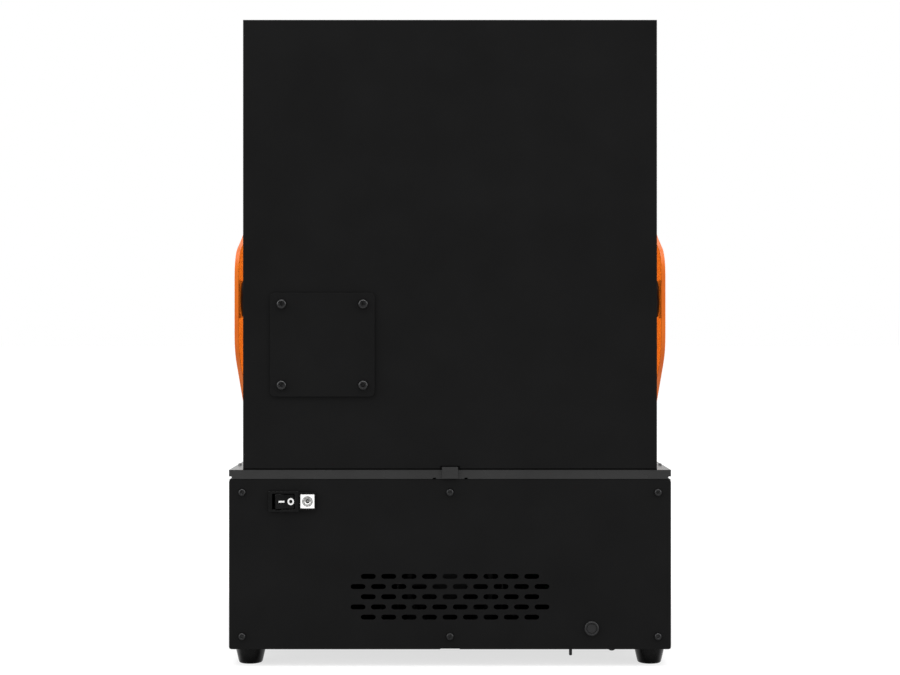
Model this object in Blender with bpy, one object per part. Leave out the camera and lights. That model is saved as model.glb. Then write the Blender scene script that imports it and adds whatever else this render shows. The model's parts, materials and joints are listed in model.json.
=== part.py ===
"""A resin wash station: a vented steel base with its electronics and stirring motor, a sheet steel
hood, a flip-up orange visor, and a wash tank with a magnetically driven impeller and a basket.

Sizes below are in millimetres and become metres when a mesh is made. The rear faces +Y and the
front -Y. A depth is how far a plane lies in front of the base's rear plane.
"""

import math

import bmesh
import bpy
from mathutils import Matrix, Vector

MM = 0.001
GAP = 0.3

# base and top plate
BASE_WIDTH = 300.6
BASE_DEPTH = 290.0
BASE_BOTTOM = 12.0
BASE_TOP = 127.5
SHEET = 1.5
PLATE_BOTTOM = BASE_TOP + GAP
PLATE_TOP = 134.0
PLATE_WALL = 2.0
TAB_HALF = 5.4
TAB_TOP = 136.0
TAB_NOTCHES = (10.6, -10.9)
RIVET_X = 148.2
RIVET_DEPTHS = (42.0, 250.0)
HALF = BASE_WIDTH / 2
FLOOR_TOP = BASE_BOTTOM + SHEET

# hood, visor and the pivot that they share
HOOD_WIDTH = 281.5
HOOD_DEPTH = 138.0
HOOD_TOP = 440.0
PIVOT_DEPTH = 80.0
PIVOT_HEIGHT = 252.0
VISOR_WALL = 3.0
VISOR_HALF = 154.5
VISOR_TOP = 458.0
VISOR_BOTTOM = 135.0
VISOR_FRONT = 286.0
VISOR_REAR_EDGE = 118.0

# what stands proud in front and behind, which centres the machine on the origin
KNOB_PROUD = 15.0
REAR_PROUD = 3.8
REAR_Y = (BASE_DEPTH + KNOB_PROUD - REAR_PROUD) / 2

# rear panel
SCREW_X = 141.4
SCREW_ROWS = (20.7, 118.6)
SCREW_PLACES = [(x, z) for z in SCREW_ROWS for x in (-SCREW_X, 0.0, SCREW_X)]
SLOT_LENGTH = 10.3
SLOT_HEIGHT = 3.5
SLOT_PITCH = 13.9
SLOT_ROW_PITCH = 6.93
SLOT_BOTTOM_ROW = 33.8
SLOT_ROWS = (9, 10, 9, 10, 9)
VENT_WINDOW = 131.0
VENT_WINDOW_Z = (28.0, 110.0)
SWITCH_X = 113.1
SWITCH_Z = 112.5
SWITCH_WELL = 7.6
ROCKER_DEPTH = 3.5
ROCKER_REST = math.radians(10)
JACK_X = 96.8
JACK_Z = 112.7
JACK_BORE = 3.5
PLUG_X = -96.3
PLUG_Z = 26.2

# port in the hood's back and its cover
PORT_X = 86.7
PORT_Z = 219.1
PORT_SIDE = 50.0
COVER_WIDTH = 71.0
COVER_HEIGHT = 70.5
COVER_SCREW_X = 27.7
COVER_SCREW_Z = 27.55
COVER_SCREWS = [
    (PORT_X + across, PORT_Z + up)
    for up in (-COVER_SCREW_Z, COVER_SCREW_Z)
    for across in (-COVER_SCREW_X, COVER_SCREW_X)
]

# front controls
PANEL_Z = 70.0
DISPLAY_X = -48.0
DISPLAY_WIDTH = 64.0
DISPLAY_HEIGHT = 30.0
BUTTON_X = 10.0
KNOB_X = 55.0
KNOB_RADIUS = 18.0
FASCIA_WIDTH = 180.0
FASCIA_HEIGHT = 60.0

# feet
FOOT_X = 137.6
FOOT_DEPTHS = (18.0, 272.0)
FOOT_TOP_RADIUS = 10.6
FOOT_LOW_RADIUS = 8.2

# stirring drive and tank, all on one upright axis
DRIVE_DEPTH = 150.0
BRIDGE_HALF = 40.0
BRIDGE_TOP = 62.0
MOTOR_RADIUS = 23.0
MAGNET_DISC_RADIUS = 32.0
BOARD_Z = 24.0
BOARD_THICK = 1.6
TANK_WIDTH = 232.0
TANK_LENGTH = 150.0
TANK_BOTTOM = PLATE_TOP + GAP
TANK_TOP = 334.0
TANK_FLOOR = 138.3
BASKET_WIDTH = 206.0
BASKET_LENGTH = 124.0
BASKET_FLOOR = 175.0
BASKET_TOP = 336.8
BAIL_Z = 340.0
BAIL_REACH = 58.0
BAIL_HALF = 108.5
BAIL_RADIUS = 2.0

# fan, which stands on the floor well behind the vents
FAN_Z = 47.6
FAN_HALF = 30.0
FAN_DEPTH = 44.0
FAN_THICK = 15.0
FAN_BORE = 28.0
FAN_HUB = 12.5
FAN_BLADES = 7
ROTOR_DEPTH = FAN_DEPTH + 6.0

for leftover in list(bpy.data.objects):
    bpy.data.objects.remove(leftover, do_unlink=True)


def y_at(depth):
    """World Y, in millimetres, of a plane this far in front of the rear plane."""
    return REAR_Y - depth


# materials ----------------------------------------------------------------------------------


def material(name, colour, roughness, metallic=0.0, transmission=0.0):
    mat = bpy.data.materials.new(name)
    mat.use_nodes = True
    shader = mat.node_tree.nodes["Principled BSDF"]
    shader.inputs["Base Color"].default_value = (*colour, 1.0)
    shader.inputs["Roughness"].default_value = roughness
    shader.inputs["Metallic"].default_value = metallic
    shader.inputs["Transmission Weight"].default_value = transmission
    return mat


PAINT = material("matt_black_powder_coat", (0.012, 0.012, 0.012), 0.6)
SATIN_PAINT = material("satin_black_powder_coat", (0.03, 0.03, 0.03), 0.4)
BLACK_PLASTIC = material("black_plastic", (0.02, 0.02, 0.02), 0.45)
BLACK_STEEL = material("black_oxide_steel", (0.06, 0.06, 0.06), 0.4, 1.0)
BRIGHT_STEEL = material("bright_steel", (0.7, 0.7, 0.7), 0.25, 1.0)
RUBBER = material("black_rubber", (0.015, 0.015, 0.015), 0.7)
ORANGE = material("orange_polycarbonate", (0.9, 0.2, 0.02), 0.12, 0.0, 0.85)
CLEAR = material("clear_polycarbonate", (0.85, 0.88, 0.9), 0.15, 0.0, 0.8)
BOARD_GREEN = material("circuit_board", (0.01, 0.12, 0.05), 0.4)
GLASS_BLACK = material("display_glass", (0.01, 0.01, 0.012), 0.08)
CARBON = material("activated_carbon", (0.03, 0.03, 0.032), 0.9)
GREY_PLASTIC = material("grey_plastic", (0.2, 0.2, 0.21), 0.5)


# mesh making --------------------------------------------------------------------------------


def make(name, bm, mat, origin=(0.0, 0.0, 0.0), smooth_angle=None):
    """An object from a mesh drawn in place, with its own origin where the piece turns or slides."""
    bmesh.ops.recalc_face_normals(bm, faces=bm.faces)
    bm.transform(Matrix.Scale(MM, 4) @ Matrix.Translation(-Vector(origin)))
    mesh = bpy.data.meshes.new(name)
    bm.to_mesh(mesh)
    bm.free()
    if mat is not None:
        mesh.materials.append(mat)
    if smooth_angle is not None:
        mesh.shade_smooth()
        mesh.set_sharp_from_angle(angle=math.radians(smooth_angle))
    obj = bpy.data.objects.new(name, mesh)
    obj.location = Vector(origin) * MM
    bpy.context.scene.collection.objects.link(obj)
    return obj


def combine(target, bm, operation="DIFFERENCE"):
    """Cuts the target with the bodies in bm, or joins them to it."""
    tool = make(f"{target.name}_{operation.lower()}_{len(target.modifiers)}", bm, None)
    tool.hide_render = True
    tool.display_type = "WIRE"
    boolean = target.modifiers.new(operation.title(), "BOOLEAN")
    boolean.operation = operation
    boolean.solver = "EXACT"
    boolean.object = tool


def box(bm, x, depth, z):
    """A box between two X values, two depths and two heights."""
    low = Vector((x[0], y_at(depth[1]), z[0]))
    high = Vector((x[1], y_at(depth[0]), z[1]))
    size = high - low
    matrix = Matrix.Translation((low + high) / 2) @ Matrix.Diagonal((*size, 1.0))
    bmesh.ops.create_cube(bm, size=1.0, matrix=matrix)
    return bm


def box_mesh(x, depth, z):
    return box(bmesh.new(), x, depth, z)


AXES = {
    "X": (Vector((0, 1, 0)), Vector((0, 0, 1)), Vector((1, 0, 0))),
    "Y": (Vector((0, 0, 1)), Vector((1, 0, 0)), Vector((0, 1, 0))),
    "Z": (Vector((1, 0, 0)), Vector((0, 1, 0)), Vector((0, 0, 1))),
}


def turned(bm, centre, axis, profile, segments=24):
    """A lathe shape: profile is (radius, distance along the axis) from centre. It closes on the
    axis where its ends have no radius, and on itself where they have."""
    first, second, along = AXES[axis]
    centre = Vector(centre)
    rings = []
    for radius, distance in profile:
        if radius < 1e-6:
            rings.append([bm.verts.new(centre + along * distance)])
            continue
        ring = []
        for step in range(segments):
            angle = 2 * math.pi * step / segments
            radial = first * math.cos(angle) + second * math.sin(angle)
            ring.append(bm.verts.new(centre + along * distance + radial * radius))
        rings.append(ring)
    pairs = list(zip(rings, rings[1:]))
    if len(rings[0]) > 1:
        pairs.append((rings[-1], rings[0]))
    for low, high in pairs:
        for step in range(segments):
            after = (step + 1) % segments
            corners = [low[step % len(low)], low[after % len(low)]]
            corners += [high[after % len(high)], high[step % len(high)]]
            bm.faces.new(list(dict.fromkeys(corners)))
    return bm


def turned_mesh(centre, axis, profile, segments=24):
    return turned(bmesh.new(), centre, axis, profile, segments)


def rod(bm, centre, axis, radius, low, high, segments=16):
    """A plain cylinder from low to high along the axis, through centre."""
    return turned(bm, centre, axis, ((0, low), (radius, low), (radius, high), (0, high)), segments)


def arc(centre, radius, start, end, steps):
    """Points along an arc, angles in degrees, in a plane."""
    points = []
    for step in range(steps + 1):
        angle = math.radians(start + (end - start) * step / steps)
        points.append((centre[0] + radius * math.cos(angle), centre[1] + radius * math.sin(angle)))
    return points


def rounded_rectangle(width, height, radius, steps=4, centre=(0.0, 0.0)):
    """A rectangle's outline with round corners, anticlockwise."""
    points = []
    for quarter, (side, up) in enumerate(((1, 1), (-1, 1), (-1, -1), (1, -1))):
        corner = (centre[0] + side * (width / 2 - radius), centre[1] + up * (height / 2 - radius))
        points += arc(corner, radius, 90 * quarter, 90 * quarter + 90, steps)
    return points


def rounded_outline(corners, steps=5):
    """A polygon with its corners rounded: each corner is (a, b, radius)."""
    points = []
    for index, (a, b, radius) in enumerate(corners):
        here = Vector((a, b))
        before = (Vector(corners[index - 1][:2]) - here).normalized()
        after = (Vector(corners[(index + 1) % len(corners)][:2]) - here).normalized()
        half = before.angle(after) / 2
        centre = here + (before + after).normalized() * radius / math.sin(half)
        start = here + before * radius / math.tan(half) - centre
        end = here + after * radius / math.tan(half) - centre
        sweep = start.angle_signed(end)
        for step in range(steps + 1):
            turn = Matrix.Rotation(-sweep * step / steps, 2)
            points.append(tuple(centre + turn @ start))
    return points


def loft(bm, sections):
    """Skins closed sections that have the same number of points, and caps both ends."""
    rings = [[bm.verts.new(point) for point in section] for section in sections]
    for low, high in zip(rings, rings[1:]):
        for index in range(len(low)):
            after = (index + 1) % len(low)
            bm.faces.new((low[index], low[after], high[after], high[index]))
    bm.faces.new(rings[0])
    bm.faces.new(rings[-1])
    return bm


def plate(bm, outline, depth):
    """An upright plate: an outline in X and Z between two depths."""
    return loft(bm, [[(x, y_at(d), z) for x, z in outline] for d in depth])


def side_prism(bm, outline, x):
    """An outline in depth and height carried from one X to another."""
    return loft(bm, [[(side, y_at(d), z) for d, z in outline] for side in x])


def level_section(width, length, radius, z):
    """A level rounded rectangle around the drive axis."""
    outline = rounded_rectangle(width, length, radius, 4, (0.0, y_at(DRIVE_DEPTH)))
    return [(x, y, z) for x, y in outline]


# base -----------------------------------------------------------------------------------------


def holes(bm, places, radius, depth, segments=12):
    """Round holes through an upright wall, as cutters."""
    for x, z in places:
        rod(bm, (x, y_at(depth[1]), z), "Y", radius, 0.0, depth[1] - depth[0], segments)
    return bm


def make_base_shell():
    """Folded steel tray: floor, sides, front and a flange round the open rear."""
    rear = SHEET + GAP
    shell = make(
        "base_shell",
        box_mesh((-HALF, HALF), (rear, BASE_DEPTH), (BASE_BOTTOM, BASE_TOP)),
        PAINT,
    )
    inner = HALF - SHEET
    front = BASE_DEPTH - SHEET
    combine(shell, box_mesh((-inner, inner), (rear + SHEET, front), (BASE_BOTTOM + SHEET, 140)))
    combine(shell, box_mesh((-VENT_WINDOW, VENT_WINDOW), (0, 10), VENT_WINDOW_Z))
    cuts = box_mesh((JACK_X - 8, SWITCH_X + 13), (0, 9), (104, 121))
    box(cuts, (PLUG_X - 6, PLUG_X + 6), (0, 9), (20, 34))
    box(cuts, (-86, 86), (280, 300), (PANEL_Z - 26, PANEL_Z + 26))
    holes(cuts, SCREW_PLACES, 1.8, (0, 5))
    combine(shell, cuts)


def slot_outline(x, z):
    """A slot with round ends."""
    reach = (SLOT_LENGTH - SLOT_HEIGHT) / 2
    right = arc((x + reach, z), SLOT_HEIGHT / 2, -90, 90, 4)
    return right + arc((x - reach, z), SLOT_HEIGHT / 2, 90, 270, 4)


def make_rear_panel():
    """Flat steel panel with staggered vent slots and the holes for what it carries."""
    outline = rounded_rectangle(
        BASE_WIDTH, BASE_TOP - BASE_BOTTOM, 1.8, 3, (0.0, (BASE_TOP + BASE_BOTTOM) / 2)
    )
    panel = make("base_rear_panel", plate(bmesh.new(), outline, (0.0, SHEET)), PAINT)
    through = (-2, 4)
    cuts = bmesh.new()
    for row, count in enumerate(SLOT_ROWS):
        for column in range(count):
            x = (column - (count - 1) / 2) * SLOT_PITCH
            plate(cuts, slot_outline(x, SLOT_BOTTOM_ROW + row * SLOT_ROW_PITCH), through)
    holes(cuts, SCREW_PLACES, 1.8, through)
    holes(cuts, [(PLUG_X, PLUG_Z)], 3.8, through, 20)
    box(cuts, (SWITCH_X - 9.5, SWITCH_X + 9.5), through, (SWITCH_Z - 6.4, SWITCH_Z + 6.4))
    box(cuts, (JACK_X - 5.1, JACK_X + 5.1), through, (JACK_Z - 5.5, JACK_Z + 5.5))
    box(cuts, (-6.6, 6.6), through, (BASE_BOTTOM - 2, BASE_BOTTOM + 1.3))
    combine(panel, cuts)


def button_screw(name, x, z, face_depth, head_radius, head_height, shank_radius, shank_length):
    """A button-head machine screw driven in from behind, its head on a wall at face_depth."""
    rise = head_height / 3
    profile = (
        (0, -shank_length),
        (shank_radius, -shank_length),
        (shank_radius, GAP),
        (head_radius, GAP),
        (head_radius, GAP + rise),
        (head_radius * 0.8, GAP + 2.2 * rise),
        (head_radius * 0.4, GAP + head_height),
        (0, GAP + head_height),
    )
    bm = turned_mesh((x, y_at(face_depth), z), "Y", profile, 12)
    make(name, bm, BLACK_STEEL, smooth_angle=50)


def make_feet():
    names = ("rear_right", "front_right", "rear_left", "front_left")
    places = [(x, depth) for x in (-FOOT_X, FOOT_X) for depth in FOOT_DEPTHS]
    top = BASE_BOTTOM - GAP
    low, high = FOOT_LOW_RADIUS, FOOT_TOP_RADIUS
    profile = ((0, 0), (low - 1.6, 0), (low - 0.4, 0.6), (low, 1.8), (high, top - 0.6))
    profile += ((high, top), (0, top))
    for name, (x, depth) in zip(names, places):
        make(f"foot_{name}", turned_mesh((x, y_at(depth), 0), "Z", profile), RUBBER, smooth_angle=40)


def make_underside_fasteners():
    """The end of a long screw and a low screw head under the floor, near its rear edge."""
    stud = ((0, 6.0), (0.7, 6.0), (1.1, 6.4), (1.1, BASE_BOTTOM - GAP), (0, BASE_BOTTOM - GAP))
    make("bottom_stud", turned_mesh((-82.7, y_at(10), 0), "Z", stud, 12), BLACK_STEEL)
    head = ((0, 10.2), (1.4, 10.2), (2.4, 10.9), (2.4, BASE_BOTTOM - GAP), (0, BASE_BOTTOM - GAP))
    make("bottom_screw", turned_mesh((-110.5, y_at(6), 0), "Z", head, 16), BLACK_STEEL)


def make_switch():
    """Snap-in rocker switch lying on its side, so that its rocker tips about an upright axis."""
    x, z = SWITCH_X, SWITCH_Z
    housing = make(
        "switch_housing", box_mesh((x - 10.4, x + 10.4), (-1.8, -GAP), (z - 7, z + 7)), BLACK_PLASTIC
    )
    combine(housing, box_mesh((x - 9.2, x + 9.2), (-1.0, 17), (z - 6.1, z + 6.1)), "UNION")
    combine(housing, box_mesh((x - SWITCH_WELL, x + SWITCH_WELL), (-4, 12), (z - 5.4, z + 5.4)))
    side = ((6.3, 5.9), (6.8, 3), (7.0, 1), (3.5, -4))
    outline = ((0, 4.7), (3, 5.1), (6.0, 6.0), *side)
    outline += tuple((-a, b) for a, b in reversed(side))
    outline += ((-6.0, 6.0), (-3, 5.1))
    pivot = (x, y_at(ROCKER_DEPTH), z)
    sections = [[(x + a, pivot[1] + b, z + h) for a, b in outline] for h in (-5.0, 5.0)]
    rocker = make("switch_rocker", loft(bmesh.new(), sections), BLACK_PLASTIC, pivot)
    rocker.rotation_euler = (0.0, 0.0, ROCKER_REST)


def make_jack():
    """Power inlet: a plastic body, a plated face, a contact sleeve and a centre pin."""
    x, z = JACK_X, JACK_Z
    body = make(
        "jack_body", box_mesh((x - 5.6, x + 5.6), (-1.9, -GAP), (z - 6, z + 6)), BLACK_PLASTIC
    )
    combine(body, box_mesh((x - 4.8, x + 4.8), (-1.0, 13), (z - 5.2, z + 5.2)), "UNION")
    combine(body, box_mesh((x - 5.0, x + 5.0), (-3, -1.0), (z - 5, z + 5)))
    combine(body, holes(bmesh.new(), [(x, z)], JACK_BORE, (-2, 11), 20))
    face = make(
        "jack_face", box_mesh((x - 4.7, x + 4.7), (-1.9, -1.3), (z - 4.7, z + 4.7)), BRIGHT_STEEL
    )
    combine(face, holes(bmesh.new(), [(x, z)], JACK_BORE, (-3, 0), 20))
    sleeve = ((2.75, -9), (3.15, -9), (3.15, 2.1), (2.75, 2.1))
    make("jack_sleeve", turned_mesh((x, REAR_Y, z), "Y", sleeve, 20), BRIGHT_STEEL, smooth_angle=40)
    pin = ((0, -10), (1.0, -10), (1.0, -0.9), (0.6, -0.3), (0, -0.3))
    make("jack_pin", turned_mesh((x, REAR_Y, z), "Y", pin, 12), BRIGHT_STEEL, smooth_angle=40)


def make_panel_plug():
    """Push-in plug that closes the spare cable hole in the rear panel."""
    profile = ((0, -4), (3.3, -4), (3.5, -3), (3.5, GAP), (4.9, GAP), (4.9, 1.1), (4.3, 1.5))
    profile += ((3.9, 0.8), (3.1, 0.8), (2.9, 1.2), (0, 1.2))
    bm = turned_mesh((PLUG_X, REAR_Y, PLUG_Z), "Y", profile)
    make("panel_plug", bm, RUBBER, smooth_angle=40)


def make_base():
    make_base_shell()
    make_rear_panel()
    for index, (x, z) in enumerate(SCREW_PLACES, 1):
        button_screw(f"rear_panel_screw_{index}", x, z, 0.0, 2.4, 1.4, 1.5, 6.0)
    make_feet()
    make_underside_fasteners()
    make_switch()
    make_jack()
    make_panel_plug()


# inside the base ----------------------------------------------------------------------------


def make_fan():
    """Small axial fan behind the vents."""
    back = FAN_DEPTH + FAN_THICK
    depth = (FAN_DEPTH, back)
    z = (FAN_Z - FAN_HALF, FAN_Z + FAN_HALF)
    frame = make("fan_frame", box_mesh((-FAN_HALF, FAN_HALF), depth, z), BLACK_PLASTIC)
    through = (FAN_DEPTH - 2, back + 2)
    combine(frame, holes(bmesh.new(), [(0, FAN_Z)], FAN_BORE, through, 32))
    strut = (back - 2.2, back)
    reach = FAN_BORE + 1
    combine(frame, box_mesh((-reach, reach), strut, (FAN_Z - 1.5, FAN_Z + 1.5)), "UNION")
    combine(frame, box_mesh((-1.5, 1.5), strut, (FAN_Z - reach, FAN_Z + reach)), "UNION")
    seat = (back - 2.6, back + 0.2)
    combine(frame, holes(bmesh.new(), [(0, FAN_Z)], FAN_HUB - 0.5, seat, 24), "UNION")
    foot = (FLOOR_TOP + GAP, FAN_Z - FAN_HALF + 1)
    combine(frame, box_mesh((-FAN_HALF, FAN_HALF), (FAN_DEPTH - 4, back + 4), foot), "UNION")
    centre = (0.0, y_at(ROTOR_DEPTH), FAN_Z)
    rotor = make(
        "fan_rotor",
        turned_mesh(centre, "Y", ((0, -5.6), (FAN_HUB, -5.6), (FAN_HUB, 4), (11, 5), (0, 5))),
        BLACK_PLASTIC,
        centre,
        smooth_angle=40,
    )
    blades = bmesh.new()
    for index in range(FAN_BLADES):
        turn = Matrix.Rotation(2 * math.pi * index / FAN_BLADES, 4, "Y")
        pitch = Matrix.Rotation(math.radians(38), 4, "X")
        size = Matrix.Diagonal((15.5, 1.4, 11.0, 1.0))
        place = Matrix.Translation(centre) @ turn @ Matrix.Translation((18.9, 0, 0)) @ pitch @ size
        bmesh.ops.create_cube(blades, size=1.0, matrix=place)
    combine(rotor, blades, "UNION")


def make_drive():
    """Stirring motor on its bridge, and the disc of magnets that its shaft turns."""
    depth = (DRIVE_DEPTH - 30, DRIVE_DEPTH + 30)
    floor = FLOOR_TOP + GAP
    leg = BRIDGE_HALF - SHEET
    right = [(leg, BRIDGE_TOP - 2), (leg, floor), (54, floor), (54, floor + SHEET)]
    right += [(BRIDGE_HALF, floor + SHEET), (BRIDGE_HALF, BRIDGE_TOP)]
    outline = right + [(-x, z) for x, z in reversed(right)]
    make("motor_bridge", plate(bmesh.new(), outline, depth), BRIGHT_STEEL)
    centre = (0.0, y_at(DRIVE_DEPTH), 0.0)
    seat = BRIDGE_TOP + GAP
    motor = ((0, seat), (MOTOR_RADIUS, seat), (MOTOR_RADIUS, 101), (MOTOR_RADIUS - 2, 103))
    motor += ((6, 103), (6, 105), (2.5, 105), (2.5, 118), (0, 118))
    make("stir_motor", turned_mesh(centre, "Z", motor, 28), BLACK_STEEL, smooth_angle=40)
    disc = ((2.8, 107), (8, 107), (8, 112), (MAGNET_DISC_RADIUS, 112))
    disc += ((MAGNET_DISC_RADIUS, 119), (2.8, 119))
    rotor = make(
        "magnet_rotor", turned_mesh(centre, "Z", disc, 28), GREY_PLASTIC, centre, smooth_angle=40
    )
    magnets = bmesh.new()
    for side in (-1, 1):
        rod(magnets, (side * 20, centre[1], 0), "Z", 7.5, 117, 122, 16)
    combine(rotor, magnets, "UNION")


def make_boards():
    """Driver board on its tray, and the small board behind the front controls."""
    floor = FLOOR_TOP + GAP
    tray = make("board_tray", box_mesh((-125, -15), (190, 275), (floor, floor + 2)), BLACK_PLASTIC)
    posts = bmesh.new()
    for x in (-119, -21):
        for depth in (196, 269):
            rod(posts, (x, y_at(depth), 0), "Z", 3.5, floor + 1, BOARD_Z - GAP, 12)
    combine(tray, posts, "UNION")
    board = (BOARD_Z, BOARD_Z + BOARD_THICK)
    board = make("main_board", box_mesh((-123, -17), (192, 273), board), BOARD_GREEN)
    parts = box_mesh((-60, -36), (205, 229), (25, 36))
    box(parts, (-114, -84), (203, 213), (25, 35))
    box(parts, (-100, -88), (240, 252), (25, 27.4))
    for x in (-70, -56, -42):
        rod(parts, (x, y_at(256), 0), "Z", 5, 25, 38, 12)
    combine(board, parts, "UNION")
    z = (PANEL_Z - 22, PANEL_Z + 22)
    make("control_board", box_mesh((-82, 82), (282.6, 282.6 + BOARD_THICK), z), BOARD_GREEN)


# front controls -------------------------------------------------------------------------------


def make_controls():
    """Front fascia with its display, start button and dial."""
    face = BASE_DEPTH + GAP
    outline = rounded_rectangle(FASCIA_WIDTH, FASCIA_HEIGHT, 6, 4, (0.0, PANEL_Z))
    fascia = make("control_fascia", plate(bmesh.new(), outline, (face, face + 2.8)), BLACK_PLASTIC)
    cuts = bmesh.new()
    window = rounded_rectangle(DISPLAY_WIDTH, DISPLAY_HEIGHT, 2, 3, (DISPLAY_X, PANEL_Z))
    plate(cuts, window, (face - 2, face + 5))
    holes(cuts, [(BUTTON_X, PANEL_Z)], 7.4, (face - 2, face + 5), 24)
    holes(cuts, [(KNOB_X, PANEL_Z)], 3.6, (face - 2, face + 5), 20)
    combine(fascia, cuts)
    glass = rounded_rectangle(
        DISPLAY_WIDTH - 2 * GAP, DISPLAY_HEIGHT - 2 * GAP, 1.7, 3, (DISPLAY_X, PANEL_Z)
    )
    make("display_window", plate(bmesh.new(), glass, (face, face + 3.0)), GLASS_BLACK)
    button = (BUTTON_X, y_at(face), PANEL_Z)
    cap = ((0, 1.5), (8.8, 1.5), (8.8, GAP), (7.0, GAP), (7.0, -3.8), (6.2, -4.5), (0, -4.5))
    make("start_button", turned_mesh(button, "Y", cap), GREY_PLASTIC, button, smooth_angle=40)
    dial = (KNOB_X, y_at(face), PANEL_Z)
    encoder = ((0, 5.8), (6.5, 5.8), (6.5, GAP), (3.0, GAP), (3.0, -10.5), (0, -10.5))
    make("dial_encoder", turned_mesh(dial, "Y", encoder, 20), BRIGHT_STEEL, smooth_angle=40)
    front = -KNOB_PROUD + GAP
    knob = ((0, -11.0), (3.3, -11.0), (3.3, -3.3), (KNOB_RADIUS, -3.3), (KNOB_RADIUS, -4.6))
    knob += ((KNOB_RADIUS - 0.8, front + 1.5), (KNOB_RADIUS - 2.2, front), (0, front))
    bm = turned_mesh(dial, "Y", knob, 36)
    make("control_knob", bm, BLACK_PLASTIC, dial, smooth_angle=35)


# top plate and hood ---------------------------------------------------------------------------


def make_top_plate():
    """Folded steel lid of the base, with a centre tab that hooks over the hood's back."""
    lid = make(
        "top_plate",
        box_mesh((-HALF, HALF), (0, BASE_DEPTH), (PLATE_BOTTOM, PLATE_TOP)),
        SATIN_PAINT,
    )
    inner = HALF - PLATE_WALL
    depth = (PLATE_WALL, BASE_DEPTH - PLATE_WALL)
    combine(lid, box_mesh((-inner, inner), depth, (PLATE_BOTTOM - 2, PLATE_TOP - PLATE_WALL)))
    tab = [(-1.5, 128.2), (1.0, 128.2), (1.0, 133.4), (-GAP, 133.4), (-GAP, TAB_TOP)]
    tab.append((-1.5, TAB_TOP))
    combine(lid, side_prism(bmesh.new(), tab, (-TAB_HALF, TAB_HALF)), "UNION")
    relief = bmesh.new()
    for x in TAB_NOTCHES:
        box(relief, (x - 1.1, x + 1.1), (-1, PLATE_WALL + 1), (PLATE_BOTTOM - 1, PLATE_BOTTOM + 0.9))
    for x in ((-HALF - 1, -HALF + 2), (HALF - 2, HALF + 1)):
        box(relief, x, (-1, 12), (PLATE_BOTTOM - 1, PLATE_BOTTOM + 1.7))
    combine(lid, relief)
    rivet = ((0, GAP), (1.4, GAP), (1.2, 0.9), (0.6, 1.2), (0, 1.2))
    for side, x in (("right", -RIVET_X), ("left", RIVET_X)):
        for end, depth in zip(("rear", "front"), RIVET_DEPTHS):
            bm = turned_mesh((x, y_at(depth), PLATE_TOP), "Z", rivet, 12)
            make(f"plate_rivet_{end}_{side}", bm, BLACK_STEEL, smooth_angle=50)


def make_hood():
    """Folded steel hood, open to the front and below."""
    half = HOOD_WIDTH / 2
    low = PLATE_TOP + GAP
    hood = make("hood_shell", box_mesh((-half, half), (0, HOOD_DEPTH), (low, HOOD_TOP)), PAINT)
    inner = half - SHEET
    combine(
        hood,
        box_mesh((-inner, inner), (SHEET, HOOD_DEPTH + 5), (low - 5, HOOD_TOP - SHEET)),
    )
    port = (PORT_SIDE / 2, PORT_SIDE / 2)
    cuts = box_mesh(
        (PORT_X - port[0], PORT_X + port[0]), (-2, 4), (PORT_Z - port[1], PORT_Z + port[1])
    )
    holes(cuts, COVER_SCREWS, 2.2, (-2, 4))
    for side in (-1, 1):
        start = side * half - 3
        rod(cuts, (start, y_at(PIVOT_DEPTH), PIVOT_HEIGHT), "X", 2.8, 0, 6, 16)
    combine(hood, cuts)


def make_port():
    """Screwed cover over the port in the hood's back, and the filter cassette behind it."""
    outline = rounded_rectangle(COVER_WIDTH, COVER_HEIGHT, 3, 4, (PORT_X, PORT_Z))
    depth = (-GAP - 1.2, -GAP)
    cover = make("port_cover", plate(bmesh.new(), outline, depth), PAINT)
    combine(cover, holes(bmesh.new(), COVER_SCREWS, 2.2, (-3, 2)))
    for index, (x, z) in enumerate(COVER_SCREWS, 1):
        button_screw(f"port_cover_screw_{index}", x, z, depth[0], 3.3, 2.0, 1.8, 9.0)
    half = PORT_SIDE / 2 - 1
    z = (PORT_Z - half, PORT_Z + half)
    filter_box = make(
        "filter_cassette", box_mesh((PORT_X - half, PORT_X + half), (0, 26), z), CARBON
    )
    grille = bmesh.new()
    for index in range(5):
        up = PORT_Z + (index - 2) * 8.4
        box(grille, (PORT_X - half + 4, PORT_X + half - 4), (23, 28), (up - 2.4, up + 2.4))
    combine(filter_box, grille)


# visor ----------------------------------------------------------------------------------------


def visor_outline(inset):
    """The visor from the side: a rounded tail round the pivot, a tall body and a sloping lower
    edge. Only the top and the front move in by inset, where the long edges are rounded."""
    top = VISOR_TOP - inset
    front = VISOR_FRONT - inset
    corners = (
        (59.7, 213.8, 13.0),
        (59.7, 283.2, 17.0),
        (VISOR_REAR_EDGE, 304.0, 18.0),
        (VISOR_REAR_EDGE, top, 3.0),
        (front, top, 60.0 - inset),
        (front, VISOR_BOTTOM, 3.0),
        (160.0, VISOR_BOTTOM, 14.0),
    )
    return rounded_outline(corners)


def visor_hollow(inset):
    """The space inside the visor from the side, running out past its open rear and bottom."""
    top = VISOR_TOP - VISOR_WALL - inset
    front = VISOR_FRONT - VISOR_WALL - inset
    corners = ((40, 110, 2), (40, top, 2), (front, top, 57.0 - inset), (front, 110, 2))
    return rounded_outline(corners)


def edge_rounded(outline, half, radius, steps=3):
    """Sections across the machine whose outline draws in round a quarter circle at each side."""
    quarter = []
    for step in range(steps + 1):
        angle = math.pi / 2 * step / steps
        across = half - radius + radius * math.sin(angle)
        quarter.append((across, radius * (1 - math.cos(angle))))
    places = [(-across, inset) for across, inset in reversed(quarter)] + quarter
    return [[(x, y_at(d), z) for d, z in outline(inset)] for x, inset in places]


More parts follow.
